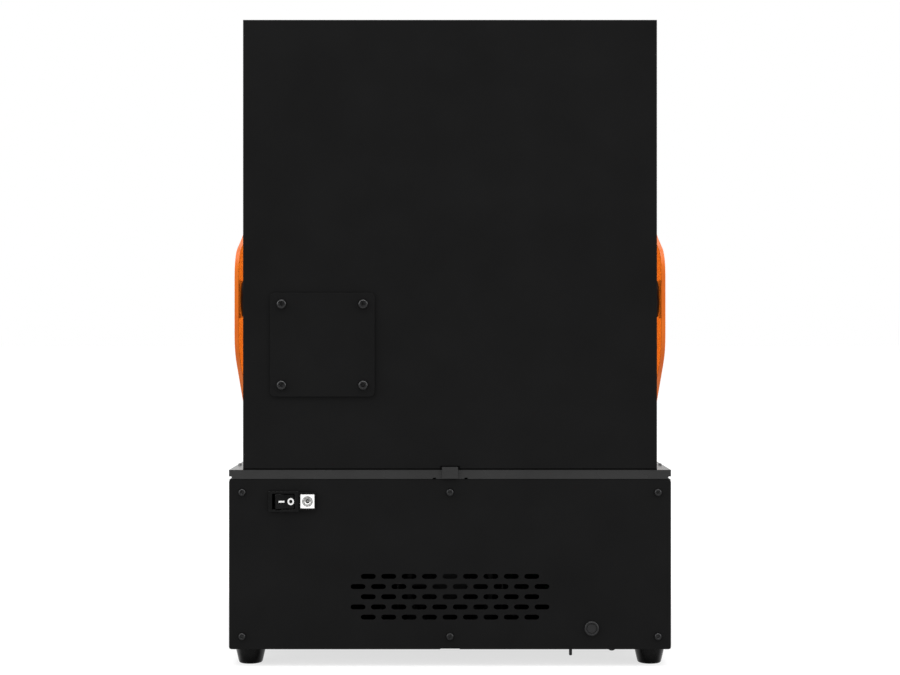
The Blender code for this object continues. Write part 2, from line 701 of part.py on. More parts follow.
def make_visor():
    """Moulded orange visor with its grip and the magnet that tells the machine it is shut."""
    pivot = (0.0, y_at(PIVOT_DEPTH), PIVOT_HEIGHT)
    outside = loft(bmesh.new(), edge_rounded(visor_outline, VISOR_HALF, 10.0))
    visor = make("visor", outside, ORANGE, pivot)
    inside = VISOR_HALF - VISOR_WALL
    combine(visor, loft(bmesh.new(), edge_rounded(visor_hollow, inside, 7.0)))
    bores = bmesh.new()
    sinks = bmesh.new()
    for side in (-1, 1):
        start = side * (inside + VISOR_WALL / 2)
        centre = (start, pivot[1], pivot[2])
        rod(bores, centre, "X", 3.4, -3, 3, 20)
        rod(sinks, centre, "X", 6.4, min(0, 4 * side), max(0, 4 * side), 24)
    combine(visor, bores)
    combine(visor, sinks)
    face = VISOR_FRONT + GAP
    grip = [(face, 141), (face + 8, 140), (face + 13, 141.5), (face + 14, 144.5)]
    grip += [(face + 12, 147.5), (face + 6, 149), (face + 4, 152), (face + 2.5, 157), (face, 158)]
    make("visor_grip", side_prism(bmesh.new(), grip, (-50, 50)), BLACK_PLASTIC, pivot)
    bm = turned_mesh((inside - 4.3, y_at(128), 332), "X", ((0, 0), (5, 0), (5, 4), (0, 4)), 16)
    make("visor_magnet", bm, BRIGHT_STEEL, pivot)
    sensor = (HOOD_WIDTH / 2 - SHEET - GAP - 6, HOOD_WIDTH / 2 - SHEET - GAP)
    make("shut_sensor", box_mesh(sensor, (121, 135), (321, 343)), BLACK_PLASTIC)


def make_pivots():
    """Spacer boss on each side of the hood, and the shoulder screw that the visor turns on."""
    hood = HOOD_WIDTH / 2
    inside = VISOR_HALF - VISOR_WALL
    for name, side in (("right", -1), ("left", 1)):
        centre = (0.0, y_at(PIVOT_DEPTH), PIVOT_HEIGHT)
        near, far = hood + GAP, inside - GAP
        ring = ((2.8, near), (14, near), (14, far - 0.8), (13.2, far), (2.8, far))
        boss = [(radius, side * along) for radius, along in ring]
        make(
            f"pivot_boss_{name}", turned_mesh(centre, "X", boss, 32), BLACK_PLASTIC, smooth_angle=40
        )
        head = inside + VISOR_WALL / 2 + GAP
        shape = ((0, hood - 7), (2.4, hood - 7), (2.4, inside - GAP), (3.0, inside - GAP))
        shape += ((3.0, head), (6.0, head), (5.6, VISOR_HALF), (0, VISOR_HALF))
        screw = [(radius, side * along) for radius, along in shape]
        bm = turned_mesh(centre, "X", screw, 20)
        make(f"pivot_screw_{name}", bm, BLACK_STEEL, smooth_angle=40)


# tank, impeller and basket --------------------------------------------------------------------


def make_tank():
    """Moulded clear tank with a rim and the pin that its impeller turns on."""
    sections = [
        level_section(TANK_WIDTH, TANK_LENGTH, 12, TANK_BOTTOM),
        level_section(TANK_WIDTH, TANK_LENGTH, 12, TANK_TOP - 3),
        level_section(TANK_WIDTH + 12, TANK_LENGTH + 12, 18, TANK_TOP - 3),
        level_section(TANK_WIDTH + 12, TANK_LENGTH + 12, 18, TANK_TOP),
        level_section(TANK_WIDTH - 6, TANK_LENGTH - 6, 9, TANK_TOP),
        level_section(TANK_WIDTH - 6, TANK_LENGTH - 6, 9, TANK_FLOOR),
    ]
    axis = (0.0, y_at(DRIVE_DEPTH), 0.0)
    tank = make("wash_tank", loft(bmesh.new(), sections), CLEAR)
    combine(tank, rod(bmesh.new(), axis, "Z", 3.4, TANK_FLOOR - 2, 151.5, 20), "UNION")


def make_impeller():
    """Vaned disc that follows the magnets below, and the guard over it."""
    axis = (0.0, y_at(DRIVE_DEPTH), 0.0)
    low = TANK_FLOOR + 1.2
    disc = ((3.8, low), (30, low), (30, low + 3), (9, low + 3), (9, 150.5), (3.8, 150.5))
    impeller = make("impeller", turned_mesh(axis, "Z", disc, 28), GREY_PLASTIC, axis)
    vanes = bmesh.new()
    for index in range(6):
        turn = Matrix.Rotation(math.pi * index / 3, 4, "Z")
        place = Matrix.Translation((18.2, 0, low + 6)) @ Matrix.Diagonal((21.0, 1.8, 8.0, 1.0))
        matrix = Matrix.Translation(axis) @ turn @ place
        bmesh.ops.create_cube(vanes, size=1.0, matrix=matrix)
    combine(impeller, vanes, "UNION")
    low = TANK_FLOOR + GAP
    cup = ((45, low), (47, low), (47, 155), (43, 159), (0, 159), (0, 157), (42, 157), (45, 154))
    bm = turned_mesh(axis, "Z", cup[5:] + cup[:5], 32)
    guard = make("impeller_guard", bm, GREY_PLASTIC)
    ports = bmesh.new()
    for index in range(8):
        turn = Matrix.Rotation(math.pi * (index + 0.5) / 4, 4, "Z")
        side = Matrix.Translation((46, 0, 147)) @ Matrix.Diagonal((8.0, 18.0, 9.0, 1.0))
        bmesh.ops.create_cube(ports, size=1.0, matrix=Matrix.Translation(axis) @ turn @ side)
        top = Matrix.Translation((26, 0, 158)) @ Matrix.Diagonal((22.0, 7.0, 6.0, 1.0))
        bmesh.ops.create_cube(ports, size=1.0, matrix=Matrix.Translation(axis) @ turn @ top)
    combine(guard, ports)


def make_basket():
    """Slotted basket that hangs by its rim on the tank's rim, with a folding wire handle."""
    seat = TANK_TOP + GAP
    sections = [
        level_section(BASKET_WIDTH, BASKET_LENGTH, 8, BASKET_FLOOR),
        level_section(BASKET_WIDTH, BASKET_LENGTH, 8, seat),
        level_section(236, 130, 10, seat),
        level_section(236, 130, 10, BASKET_TOP),
        level_section(BASKET_WIDTH - 6, BASKET_LENGTH - 6, 6, BASKET_TOP),
        level_section(BASKET_WIDTH - 6, BASKET_LENGTH - 6, 6, BASKET_FLOOR + 3),
    ]
    basket = make("wash_basket", loft(bmesh.new(), sections), GREY_PLASTIC)
    slot_z = (BASKET_FLOOR + 14, seat - 16)
    across = bmesh.new()
    for index in range(9):
        x = (index - 4) * 21
        box(across, (x - 4, x + 4), (DRIVE_DEPTH - 70, DRIVE_DEPTH + 70), slot_z)
    combine(basket, across)
    along = bmesh.new()
    for index in range(5):
        depth = DRIVE_DEPTH + (index - 2) * 21
        box(along, (-110, 110), (depth - 4, depth + 4), slot_z)
    combine(basket, along)
    floor = bmesh.new()
    for index in range(8):
        x = (index - 3.5) * 23
        depth = (DRIVE_DEPTH - 48, DRIVE_DEPTH + 48)
        box(floor, (x - 4, x + 4), depth, (BASKET_FLOOR - 3, BASKET_FLOOR + 6))
    combine(basket, floor)
    lugs = bmesh.new()
    for side in (-1, 1):
        x = sorted((side * 112, side * 115))
        box(lugs, x, (DRIVE_DEPTH - 5, DRIVE_DEPTH + 5), (BASKET_TOP - 1, BAIL_Z + 5))
    combine(basket, lugs, "UNION")
    bores = bmesh.new()
    for side in (-1, 1):
        rod(bores, (side * 113.5, y_at(DRIVE_DEPTH), BAIL_Z), "X", 2.6, -3, 3, 16)
    combine(basket, bores)


def make_bail():
    """Wire handle: a pin out through each lug, two arms and a grip bar, folded to the front."""
    pin_end = 117.5
    elbow = 3.0
    bend = 6.0
    half_path = [(pin_end, 0.0)]
    half_path += arc((BAIL_HALF + elbow, elbow), elbow, 270, 180, 4)
    half_path += arc((BAIL_HALF - bend, BAIL_REACH - bend), bend, 0, 90, 5)
    path = half_path + [(-x, reach) for x, reach in reversed(half_path)]
    curve = bpy.data.curves.new("basket_handle", "CURVE")
    curve.dimensions = "3D"
    curve.bevel_depth = BAIL_RADIUS * MM
    curve.bevel_resolution = 2
    curve.use_fill_caps = True
    spline = curve.splines.new("POLY")
    spline.points.add(len(path) - 1)
    for point, (x, reach) in zip(spline.points, path):
        point.co = (x * MM, -reach * MM, 0.0, 1.0)
    curve.materials.append(BRIGHT_STEEL)
    bail = bpy.data.objects.new("basket_handle", curve)
    bail.location = Vector((0.0, y_at(DRIVE_DEPTH), BAIL_Z)) * MM
    bpy.context.scene.collection.objects.link(bail)


make_base()
make_fan()
make_drive()
make_boards()
make_controls()
make_top_plate()
make_hood()
make_port()
make_visor()
make_pivots()
make_tank()
make_impeller()
make_basket()
make_bail()
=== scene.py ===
"""The finish of a resin wash station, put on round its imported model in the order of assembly."""

import json
import math

import bmesh
import bpy
import numpy as np
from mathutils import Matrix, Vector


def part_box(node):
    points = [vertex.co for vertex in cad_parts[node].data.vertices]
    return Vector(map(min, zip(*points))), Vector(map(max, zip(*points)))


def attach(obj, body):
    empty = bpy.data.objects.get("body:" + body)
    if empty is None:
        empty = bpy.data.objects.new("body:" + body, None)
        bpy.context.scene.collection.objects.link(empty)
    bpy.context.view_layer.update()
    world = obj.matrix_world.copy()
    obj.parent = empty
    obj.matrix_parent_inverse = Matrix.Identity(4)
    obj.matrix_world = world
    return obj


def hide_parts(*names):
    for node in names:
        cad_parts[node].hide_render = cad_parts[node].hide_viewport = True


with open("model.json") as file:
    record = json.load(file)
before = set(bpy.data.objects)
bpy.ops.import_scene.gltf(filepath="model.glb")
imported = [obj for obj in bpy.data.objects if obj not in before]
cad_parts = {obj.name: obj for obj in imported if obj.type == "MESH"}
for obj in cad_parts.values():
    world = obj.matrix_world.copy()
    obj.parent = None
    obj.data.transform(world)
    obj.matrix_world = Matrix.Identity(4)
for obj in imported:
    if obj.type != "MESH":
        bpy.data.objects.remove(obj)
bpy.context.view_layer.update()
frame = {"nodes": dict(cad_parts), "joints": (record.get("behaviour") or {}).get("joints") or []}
nodes = frame["nodes"]
MM = 0.001


# FEET ------------------------------------------------------------------------------------------
# Four moulded rubber feet under the floor's corners. Each is a tapered puck with a soft lower edge
# and a hollow below for the head of the screw that holds it.


def finish(name, colour, roughness, metallic=0.0, specular=0.5):
    """A finish whose plain constants sit on the shader's own sockets."""
    material = bpy.data.materials.new(name)
    material.use_nodes = True
    shader = material.node_tree.nodes["Principled BSDF"]
    shader.inputs["Base Color"].default_value = (*colour, 1.0)
    shader.inputs["Roughness"].default_value = roughness
    shader.inputs["Metallic"].default_value = metallic
    shader.inputs["Specular IOR Level"].default_value = specular
    return material


def add(material, kind, **values):
    """One more node in a finish, with its inputs and settings filled in by name."""
    node = material.node_tree.nodes.new(f"ShaderNode{kind}")
    for key, value in values.items():
        if key in node.inputs:
            node.inputs[key].default_value = value
        else:
            setattr(node, key, value)
    return node


def join(material, out, into):
    """Links one socket to another."""
    material.node_tree.links.new(out, into)


def on_piece(material, kind, **values):
    """A node whose vector is the place on the piece itself."""
    node = add(material, kind, **values)
    place = add(material, "TexCoord")
    join(material, place.outputs["Object"], node.inputs["Vector"])
    return node


def mottle(material, per_metre, octaves=2.0, stretch=(1.0, 1.0, 1.0)):
    """Noise fixed to the piece, per_metre lumps to the metre, drawn out where stretch is small."""
    stretched = on_piece(material, "Mapping", Scale=stretch)
    noise = add(material, "TexNoise", Scale=per_metre, Detail=octaves)
    join(material, stretched.outputs["Vector"], noise.inputs["Vector"])
    return noise.outputs["Fac"]


def ramp(material, from_low, from_high, to_low, to_high, **settings):
    """A node that carries one range of values onto another and holds beyond its ends."""
    limits = {"From Min": from_low, "From Max": from_high, "To Min": to_low, "To Max": to_high}
    return add(material, "MapRange", **limits, **settings)


def spread(material, pattern, low, high):
    """The pattern's middle range stretched to run from low to high."""
    stretched = ramp(material, 0.3, 0.7, low, high)
    join(material, pattern, stretched.inputs["Value"])
    return stretched.outputs["Result"]


def uneven_gloss(material, pattern, low, high):
    """Roughness that wanders between low and high with the pattern."""
    shader = material.node_tree.nodes["Principled BSDF"]
    join(material, spread(material, pattern, low, high), shader.inputs["Roughness"])


def relief(material, *layers):
    """Bumps on the surface: each layer is (pattern, height in metres, strength), coarse first."""
    normal = None
    for pattern, height, strength in layers:
        bump = add(material, "Bump", Distance=height, Strength=strength)
        join(material, pattern, bump.inputs["Height"])
        if normal is not None:
            join(material, normal, bump.inputs["Normal"])
        normal = bump.outputs["Normal"]
    join(material, normal, material.node_tree.nodes["Principled BSDF"].inputs["Normal"])


def surface(name, points, material, around=True, loop=False, sharp=32.0, second=None):
    """A skin over a grid of points. Columns join end to end where around is set, and rows where
    loop is. Points that meet, as at a pole, are merged. second is another finish and the grid of
    faces, true or false, that take it."""
    rows, columns = points.shape[:2]
    index = np.arange(rows * columns).reshape(rows, columns)
    if around:
        index = np.hstack([index, index[:, :1]])
    if loop:
        index = np.vstack([index, index[:1]])
    corners = (index[:-1, :-1], index[:-1, 1:], index[1:, 1:], index[1:, :-1])
    quads = np.stack(corners, axis=-1).reshape(-1, 4)
    mesh = bpy.data.meshes.new(name)
    mesh.from_pydata(points.reshape(-1, 3).tolist(), [], quads.tolist())
    mesh.materials.append(material)
    if second is not None:
        mesh.materials.append(second[0])
        mesh.polygons.foreach_set("material_index", second[1].ravel().astype(np.int32))
    shell = bmesh.new()
    shell.from_mesh(mesh)
    bmesh.ops.remove_doubles(shell, verts=shell.verts, dist=1e-6)
    bmesh.ops.recalc_face_normals(shell, faces=shell.faces)
    shell.to_mesh(mesh)
    shell.free()
    mesh.shade_smooth()
    mesh.set_sharp_from_angle(angle=math.radians(sharp))
    piece = bpy.data.objects.new(name, mesh)
    bpy.context.scene.collection.objects.link(piece)
    return piece


def eased(corners, reach, steps=5):
    """An outline whose corners are rounded: each becomes a quadratic curve from a point reach
    before it to a point reach after it. reach is one number, or one for each corner."""
    corners = np.asarray(corners, float)
    reach = np.broadcast_to(np.asarray(reach, float), len(corners))[:, None]
    sides = []
    for shift in (1, -1):
        edge = np.roll(corners, shift, axis=0) - corners
        length = np.maximum(np.linalg.norm(edge, axis=1, keepdims=True), 1e-9)
        sides.append(corners + edge * np.minimum(reach / length, 0.48))
    t = np.linspace(0.0, 1.0, steps)[:, None, None]
    curve = (1 - t) ** 2 * sides[0] + 2 * t * (1 - t) * corners + t**2 * sides[1]
    return curve.transpose(1, 0, 2).reshape(-1, 2)


def frame_of(axis):
    """Two directions across an axis and the one along it, right-handed."""
    order = {"X": (1, 2, 0), "Y": (2, 0, 1), "Z": (0, 1, 2)}[axis]
    return np.eye(3)[list(order)]


def turned(name, profile, centre, axis, material, segments=96, shape=None, **options):
    """A lathe shape: profile rows of (radius, distance along the axis), in millimetres, carried
    round the axis. shape, if given, turns (radii, distances, angles) into new radii."""
    first, second, along = frame_of(axis)
    profile = np.asarray(profile, float)
    angle = np.linspace(0.0, 2 * np.pi, segments, endpoint=False)[None, :]
    radius = profile[:, :1] * np.ones_like(angle)
    if shape is not None:
        radius = shape(radius, profile[:, 1:2], angle)
    across = np.cos(angle)[..., None] * first + np.sin(angle)[..., None] * second
    points = radius[..., None] * across + profile[:, 1, None, None] * along
    points = np.asarray(centre, float) + points * MM
    loop = profile[0, 0] > 1e-6
    return surface(name, points, material, loop=loop, **options)


def stands_for(piece, node, body="root"):
    """The piece takes the place of a CAD node on its body."""
    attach(piece, body)
    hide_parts(node)


RUBBER = finish("rubber", (0.001, 0.001, 0.001), 0.26, specular=0.24)
relief(
    RUBBER,
    (mottle(RUBBER, 140.0, 3.0), 0.00008, 0.35),
    (mottle(RUBBER, 2600.0), 0.00003, 0.4),
)
uneven_gloss(RUBBER, mottle(RUBBER, 220.0, 4.0), 0.2, 0.32)

for node in [f"foot_{end}_{side}" for end in ("rear", "front") for side in ("right", "left")]:
    low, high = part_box(node)
    top = high.z / MM
    outer = (high.x - low.x) / 2 / MM
    corners = [(0, 2.2), (4.6, 2.2), (4.9, 0), (7.7, 0), (outer - 2.35, 1.0)]
    corners += [(outer - 0.5, top - 2.6), (outer, top - 1.0), (outer - 0.2, top), (0, top)]
    reach = [0, 0.6, 0.5, 0.6, 0.8, 0.8, 0.5, 0.2, 0]
    centre = ((low.x + high.x) / 2, (low.y + high.y) / 2, 0.0)
    foot = turned(f"moulded_{node}", eased(corners, reach), centre, "Z", RUBBER)
    stands_for(foot, node)


# BASE SHELL ------------------------------------------------------------------------------------
# A tray folded from 1.5 mm steel sheet: floor, sides, front and a flange round the open rear. It is
# powder coated matt black, so its bends and cut edges are soft and carry a fine orange peel.


def soften(node, width, material, segments=2, angle=30.0):
    """Keeps a CAD node and rounds its edges by width, in millimetres: its loose triangles are
    welded, flat areas made whole and edges over the angle bevelled."""
    piece = nodes[node]
    weld = piece.modifiers.new("Weld", "WELD")
    weld.merge_threshold = 1e-6
    flats = piece.modifiers.new("Flats", "DECIMATE")
    flats.decimate_type = "DISSOLVE"
    flats.angle_limit = math.radians(0.5)
    bevel = piece.modifiers.new("Edges", "BEVEL")
    bevel.width = width * MM
    bevel.segments = segments
    bevel.limit_method = "ANGLE"
    bevel.angle_limit = math.radians(angle)
    smooth = piece.modifiers.new("Shading", "WEIGHTED_NORMAL")
    smooth.weight = 100
    piece.data.shade_smooth()
    clad(node, material)


def clad(node, material):
    """Puts a finish on every slot of a CAD node."""
    piece = nodes[node]
    if not piece.data.materials:
        piece.data.materials.append(material)
    for index in range(len(piece.data.materials)):
        piece.data.materials[index] = material


def shaded(material, pattern, dark, light):
    """A colour that wanders from dark to light with the pattern."""
    mix = add(material, "Mix", data_type="RGBA")
    join(material, spread(material, pattern, 0.0, 1.0), mix.inputs["Factor"])
    for name, colour in (("A", dark), ("B", light)):
        socket = next(s for s in mix.inputs if s.name == name and s.type == "RGBA")
        socket.default_value = (*colour, 1.0)
    out = next(s for s in mix.outputs if s.type == "RGBA")
    join(material, out, material.node_tree.nodes["Principled BSDF"].inputs["Base Color"])


def powder_coat(name, colour, low, high, specular):
    """Powder coat: orange peel under a finer stipple, with gloss and depth that drift a little."""
    coat = finish(name, colour, low, specular=specular)
    relief(
        coat,
        (mottle(coat, 420.0, 2.0), 0.00006, 0.14),
        (mottle(coat, 2400.0, 2.0), 0.00003, 0.18),
    )
    uneven_gloss(coat, mottle(coat, 9.0, 5.0), low, high)
    dark = tuple(0.9 * part for part in colour)
    light = tuple(1.12 * part for part in colour)
    shaded(coat, mottle(coat, 26.0, 4.0), dark, light)
    return coat


MATT_COAT = powder_coat("matt_coat", (0.005, 0.005, 0.0051), 0.5, 0.6, 0.11)
soften("base_shell", 0.45, MATT_COAT)


# INSIDE THE BASE -------------------------------------------------------------------------------
# The stirring motor stands on a plated bridge and turns a disc of magnets under the top plate. The
# driver board sits on a moulded tray, and a small axial fan blows out through the rear vents.

PLATED = finish("plated_steel", (0.62, 0.62, 0.6), 0.28, metallic=1.0)
uneven_gloss(PLATED, mottle(PLATED, 900.0, 4.0, (1.0, 1.0, 0.06)), 0.2, 0.42)
relief(PLATED, (mottle(PLATED, 3200.0, 2.0, (1.0, 1.0, 0.05)), 0.00001, 0.25))

ENAMEL = finish("motor_enamel", (0.03, 0.03, 0.033), 0.35)
relief(ENAMEL, (mottle(ENAMEL, 700.0), 0.00004, 0.3))
uneven_gloss(ENAMEL, mottle(ENAMEL, 60.0, 3.0), 0.28, 0.45)


def moulded_plastic(name, colour, low, high, specular=0.4):
    """Injection-moulded plastic: a spark-eroded grain with slow drifts in its gloss."""
    plastic = finish(name, colour, low, specular=specular)
    grain = on_piece(plastic, "TexVoronoi", Scale=2600.0)
    relief(
        plastic,
        (grain.outputs["Distance"], 0.00003, 0.25),
        (mottle(plastic, 300.0), 0.00004, 0.15),
    )
    uneven_gloss(plastic, mottle(plastic, 45.0, 4.0), low, high)
    return plastic


BLACK_PLASTIC = moulded_plastic("black_plastic", (0.006, 0.006, 0.0063), 0.36, 0.5, 0.3)
GREY_PLASTIC = moulded_plastic("grey_plastic", (0.075, 0.077, 0.08), 0.38, 0.52)

# The circuit boards: green mask over rows of copper, with the gaps between tracks lighter.
BOARD = finish("circuit_board", (0.008, 0.075, 0.03), 0.35)
track_sizes = {"Brick Width": 0.009, "Row Height": 0.0035, "Mortar Size": 0.0005}
track_colours = {
    "Color1": (0.008, 0.075, 0.03, 1.0),
    "Color2": (0.012, 0.1, 0.042, 1.0),
    "Mortar": (0.05, 0.2, 0.06, 1.0),
}
tracks = on_piece(BOARD, "TexBrick", Scale=1.0, **track_sizes, **track_colours)
join(BOARD, tracks.outputs["Color"], BOARD.node_tree.nodes["Principled BSDF"].inputs["Base Color"])
relief(BOARD, (tracks.outputs["Fac"], 0.00005, 0.4))

soften("motor_bridge", 0.3, PLATED)
soften("stir_motor", 0.3, ENAMEL)
soften("magnet_rotor", 0.3, GREY_PLASTIC)
soften("board_tray", 0.3, BLACK_PLASTIC)
clad("main_board", BOARD)
clad("control_board", BOARD)
soften("fan_frame", 0.4, BLACK_PLASTIC)


def middle(node):
    """The middle of a CAD node's box."""
    low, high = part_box(node)
    return (low + high) / 2


def detail(piece, body="root"):
    """A piece with no CAD node of its own, such as a printed mark, on the body that carries it."""
    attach(piece, body)


# The fan's rotor is one moulding: a cup-shaped hub with seven twisted, curved blades.
FAN_BLADES = 7
HUB_RADIUS = 12.5
BLADE_ROOT = 12.0
BLADE_TIP = 26.0
HALF_CHORD = 6.5
HALF_THICKNESS = 0.6
ROOT_LEAN = 48.0
TIP_LEAN = 30.0
fan_axis = middle("fan_rotor")
hub_half = (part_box("fan_rotor")[1].y - fan_axis.y) / MM
hub_shape = [(0, -hub_half), (HUB_RADIUS, -hub_half), (HUB_RADIUS, hub_half - 1), (0, hub_half - 1)]
hub = turned("fan_hub", eased(hub_shape, 1.0), tuple(fan_axis), "Y", BLACK_PLASTIC)
stands_for(hub, "fan_rotor", "fan_rotor")


def fan_blade(number):
    """A blade as a closed strip: rows run from the hub to the tip, and columns go round a thin
    lens whose chord leans more steeply at the hub than at the tip."""
    out = np.linspace(BLADE_ROOT, BLADE_TIP, 9)[:, None]
    share = (out - BLADE_ROOT) / (BLADE_TIP - BLADE_ROOT)
    around = np.linspace(0.0, 2 * np.pi, 20, endpoint=False)[None, :]
    chord = HALF_CHORD * np.cos(around) * np.ones_like(out)
    thick = HALF_THICKNESS * np.sin(around) * np.ones_like(out)
    lean = np.radians(ROOT_LEAN + (TIP_LEAN - ROOT_LEAN) * share)
    sweep = 2 * np.pi * number / FAN_BLADES + chord * np.cos(lean) / out + 0.25 * share
    along = (chord * np.sin(lean) + thick * np.cos(lean)) * 0.95
    points = np.stack([out * np.sin(sweep), along, out * np.cos(sweep)], axis=-1)
    flat = points.mean(axis=1, keepdims=True)
    capped = np.concatenate([flat[:1] + 0 * points[:1], points, flat[-1:] + 0 * points[-1:]])
    return np.array(fan_axis) + capped * MM


for number in range(FAN_BLADES):
    blade = surface(f"fan_blade_{number + 1}", fan_blade(number), BLACK_PLASTIC)
    detail(blade, "fan_rotor")


# REAR PANEL ------------------------------------------------------------------------------------
# A flat laser-cut steel sheet, coated like the shell, with staggered vent slots. Six button-head
# machine screws with hexagon sockets hold it to the shell's flange.

soften("base_rear_panel", 0.3, MATT_COAT)

BLACK_OXIDE = finish("black_oxide", (0.06, 0.06, 0.061), 0.34, metallic=1.0)
uneven_gloss(BLACK_OXIDE, mottle(BLACK_OXIDE, 700.0, 4.0), 0.26, 0.44)
relief(BLACK_OXIDE, (mottle(BLACK_OXIDE, 3000.0), 0.00001, 0.3))


def hexagon(radii, distances, angles):
    """Rows with a negative radius follow a hexagon, and the others stay round. A hexagon's edge
    lies at its inner radius over the cosine of the angle from the nearest flat's middle."""
    inner = 0.9 * -radii
    from_flat = np.mod(angles, np.pi / 3) - np.pi / 6
    return np.where(radii < 0, inner / np.cos(from_flat), radii)


def face_middle(node, face):
    """The middle of the front or the rear face of a CAD node's box."""
    low, high = (np.array(corner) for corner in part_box(node))
    place = (low + high) / 2
    place[1] = {"front": low[1], "rear": high[1]}[face]
    return place


def button_head(name, node, head, height, shank, length):
    """A button-head screw facing the rear, from its socket's floor up the hexagon walls and over
    the dome to the head's underside and the shank. The dome falls with the square root of one
    less a power of the share of the way from the socket's mouth to the head's edge."""
    seat = face_middle(node, "rear") - np.array([0.0, height, 0.0]) * MM
    socket = 0.38 * head
    mouth = 1.12 * socket
    floor = 0.05 * height
    brim = 0.35 * height
    walls = [(0, floor), (-0.97 * socket, floor)]
    walls += [(-socket, 0.12 * height), (-socket, 0.86 * height)]
    out = np.linspace(0.0, 1.0, 9)
    fall = np.sqrt(1 - out**2.2)
    dome = np.stack([mouth + (head - mouth) * out, brim + (height - brim) * fall], axis=1)
    rest = [(head, 0.1 * height), (head - 0.12, 0), (shank, 0), (shank, -length), (0, -length)]
    profile = np.concatenate([walls, dome, rest])
    screw = turned(name, profile, seat, "Y", BLACK_OXIDE, 48, shape=hexagon, sharp=28.0)
    stands_for(screw, node)


for number in range(1, 7):
    button_head(f"panel_screw_{number}", f"rear_panel_screw_{number}", 2.4, 1.4, 1.4, 5.5)

# Under the floor, close to the rear edge, the end of a long screw and one low screw head.
soften("bottom_stud", 0.15, BLACK_OXIDE)
soften("bottom_screw", 0.15, BLACK_OXIDE)


# POWER SWITCH ----------------------------------------------------------------------------------
# A snap-in rocker switch lying on its side. The rocker is a shallow saddle that tips about an
# upright pin, and its two marks, a bar for on and a ring for off, are filled in white.

GLOSS_BLACK = moulded_plastic("gloss_black_plastic", (0.0025, 0.0025, 0.0026), 0.22, 0.34, 0.22)
WHITE_FILL = finish("white_fill", (0.68, 0.68, 0.67), 0.45)
relief(WHITE_FILL, (mottle(WHITE_FILL, 1800.0), 0.00002, 0.3))

soften("switch_housing", 0.35, GLOSS_BLACK, segments=3)
rocker_joint = next(joint for joint in frame["joints"] if joint["name"] == "switch_rock")
ROCKER_PIVOT = np.array(rocker_joint["pos_m"])
ROCKER_TILT = math.radians(10.0)
ROCKER_HALF = 7.0
ROCKER_REACH = 5.0
ROCKER_EASE = 0.5
ROCKER_CORE = 0.8


def rocker_face(across):
    """Height of the saddle over the pivot: lowest in the middle and higher to both ends."""
    return 4.7 + 1.3 * (np.abs(across) / ROCKER_HALF) ** 1.6


def on_rocker(points):
    """Points drawn on a level rocker, in millimetres, tipped to its rest and set on its pivot."""
    c, s = math.cos(ROCKER_TILT), math.sin(ROCKER_TILT)
    tip = np.array([[c, -s, 0.0], [s, c, 0.0], [0.0, 0.0, 1.0]])
    return ROCKER_PIVOT + points @ tip.T * MM


def rocker_sections():
    """The rocker's outline round its saddle, sides and keel, carried up between its two ends,
    where it draws in by a quarter circle."""
    face_x = np.linspace(5.9, -5.9, 25)
    face = np.stack([face_x, rocker_face(face_x)], axis=1)
    end = [(6.3, 5.7), (6.8, 3.0), (ROCKER_HALF, 1.0), (3.5, -4.0)]
    body = eased([(-x, y) for x, y in end] + end[::-1], 0.4)
    outline = np.concatenate([face, body])
    turn = np.linspace(0.0, np.pi / 2, 5)
    inset = ROCKER_EASE * (1 - np.sin(turn))
    up = ROCKER_REACH - ROCKER_EASE * (1 - np.cos(turn))
    heights = np.concatenate([[ROCKER_REACH], up, -up[::-1], [-ROCKER_REACH]])
    insets = np.concatenate([[ROCKER_HALF], inset, inset[::-1], [ROCKER_HALF]])
    size = 1 - insets[:, None] / ROCKER_HALF
    x = outline[None, :, 0] * size
    y = ROCKER_CORE + (outline[None, :, 1] - ROCKER_CORE) * size
    z = heights[:, None] * np.ones_like(x)
    return on_rocker(np.stack([x, y, z], axis=-1))


rocker = surface("rocker", rocker_sections(), GLOSS_BLACK, sharp=40.0)
stands_for(rocker, "switch_rocker", "switch_rocker")


MARK_SUNK = -0.05
MARK_PROUD = 0.07


def ring_on_rocker(inner, outer, centre):
    """A ring that lies on the saddle: four ovals, the inner and the outer one sunk and raised,
    follow the face's height and join into a flat band."""
    turn = np.linspace(0.0, 2 * np.pi, 48, endpoint=False)
    sizes = np.array([inner, inner, outer, outer])[:, :, None]
    lift = np.array([MARK_SUNK, MARK_PROUD, MARK_PROUD, MARK_SUNK])[:, None]
    across = centre + sizes[:, 0] * np.cos(turn)
    points = np.stack([across, rocker_face(across) + lift, sizes[:, 1] * np.sin(turn)], axis=-1)
    return surface("off_mark", on_rocker(points), WHITE_FILL, loop=True)


def bar_on_rocker(low, high, half_height):
    """A bar that follows the saddle from low to high: a small rectangle carried along it, with
    both ends closed on a point."""
    across = np.linspace(low, high, 12)[:, None] * np.ones((1, 4))
    up = np.array([-1.0, 1.0, 1.0, -1.0])[None, :] * half_height * np.ones((12, 1))
    out = rocker_face(across) + np.array([MARK_SUNK, MARK_SUNK, MARK_PROUD, MARK_PROUD])
    points = np.stack([across, out, up], axis=-1)
    ends = points.mean(axis=1, keepdims=True) * np.ones((1, 4, 1))
    points = np.concatenate([ends[:1], points, ends[-1:]])
    return surface("on_mark", on_rocker(points), WHITE_FILL)


detail(ring_on_rocker((1.15, 1.3), (2.15, 2.35), -4.05), "switch_rocker")
detail(bar_on_rocker(0.2, 4.2, 0.6), "switch_rocker")


# POWER INLET AND PLUG --------------------------------------------------------------------------
# A round low-voltage inlet: a black body with a plated square face, a contact sleeve and a centre
# pin. A moulded push-in plug closes the spare cable hole low in the panel.

soften("jack_body", 0.2, GLOSS_BLACK)

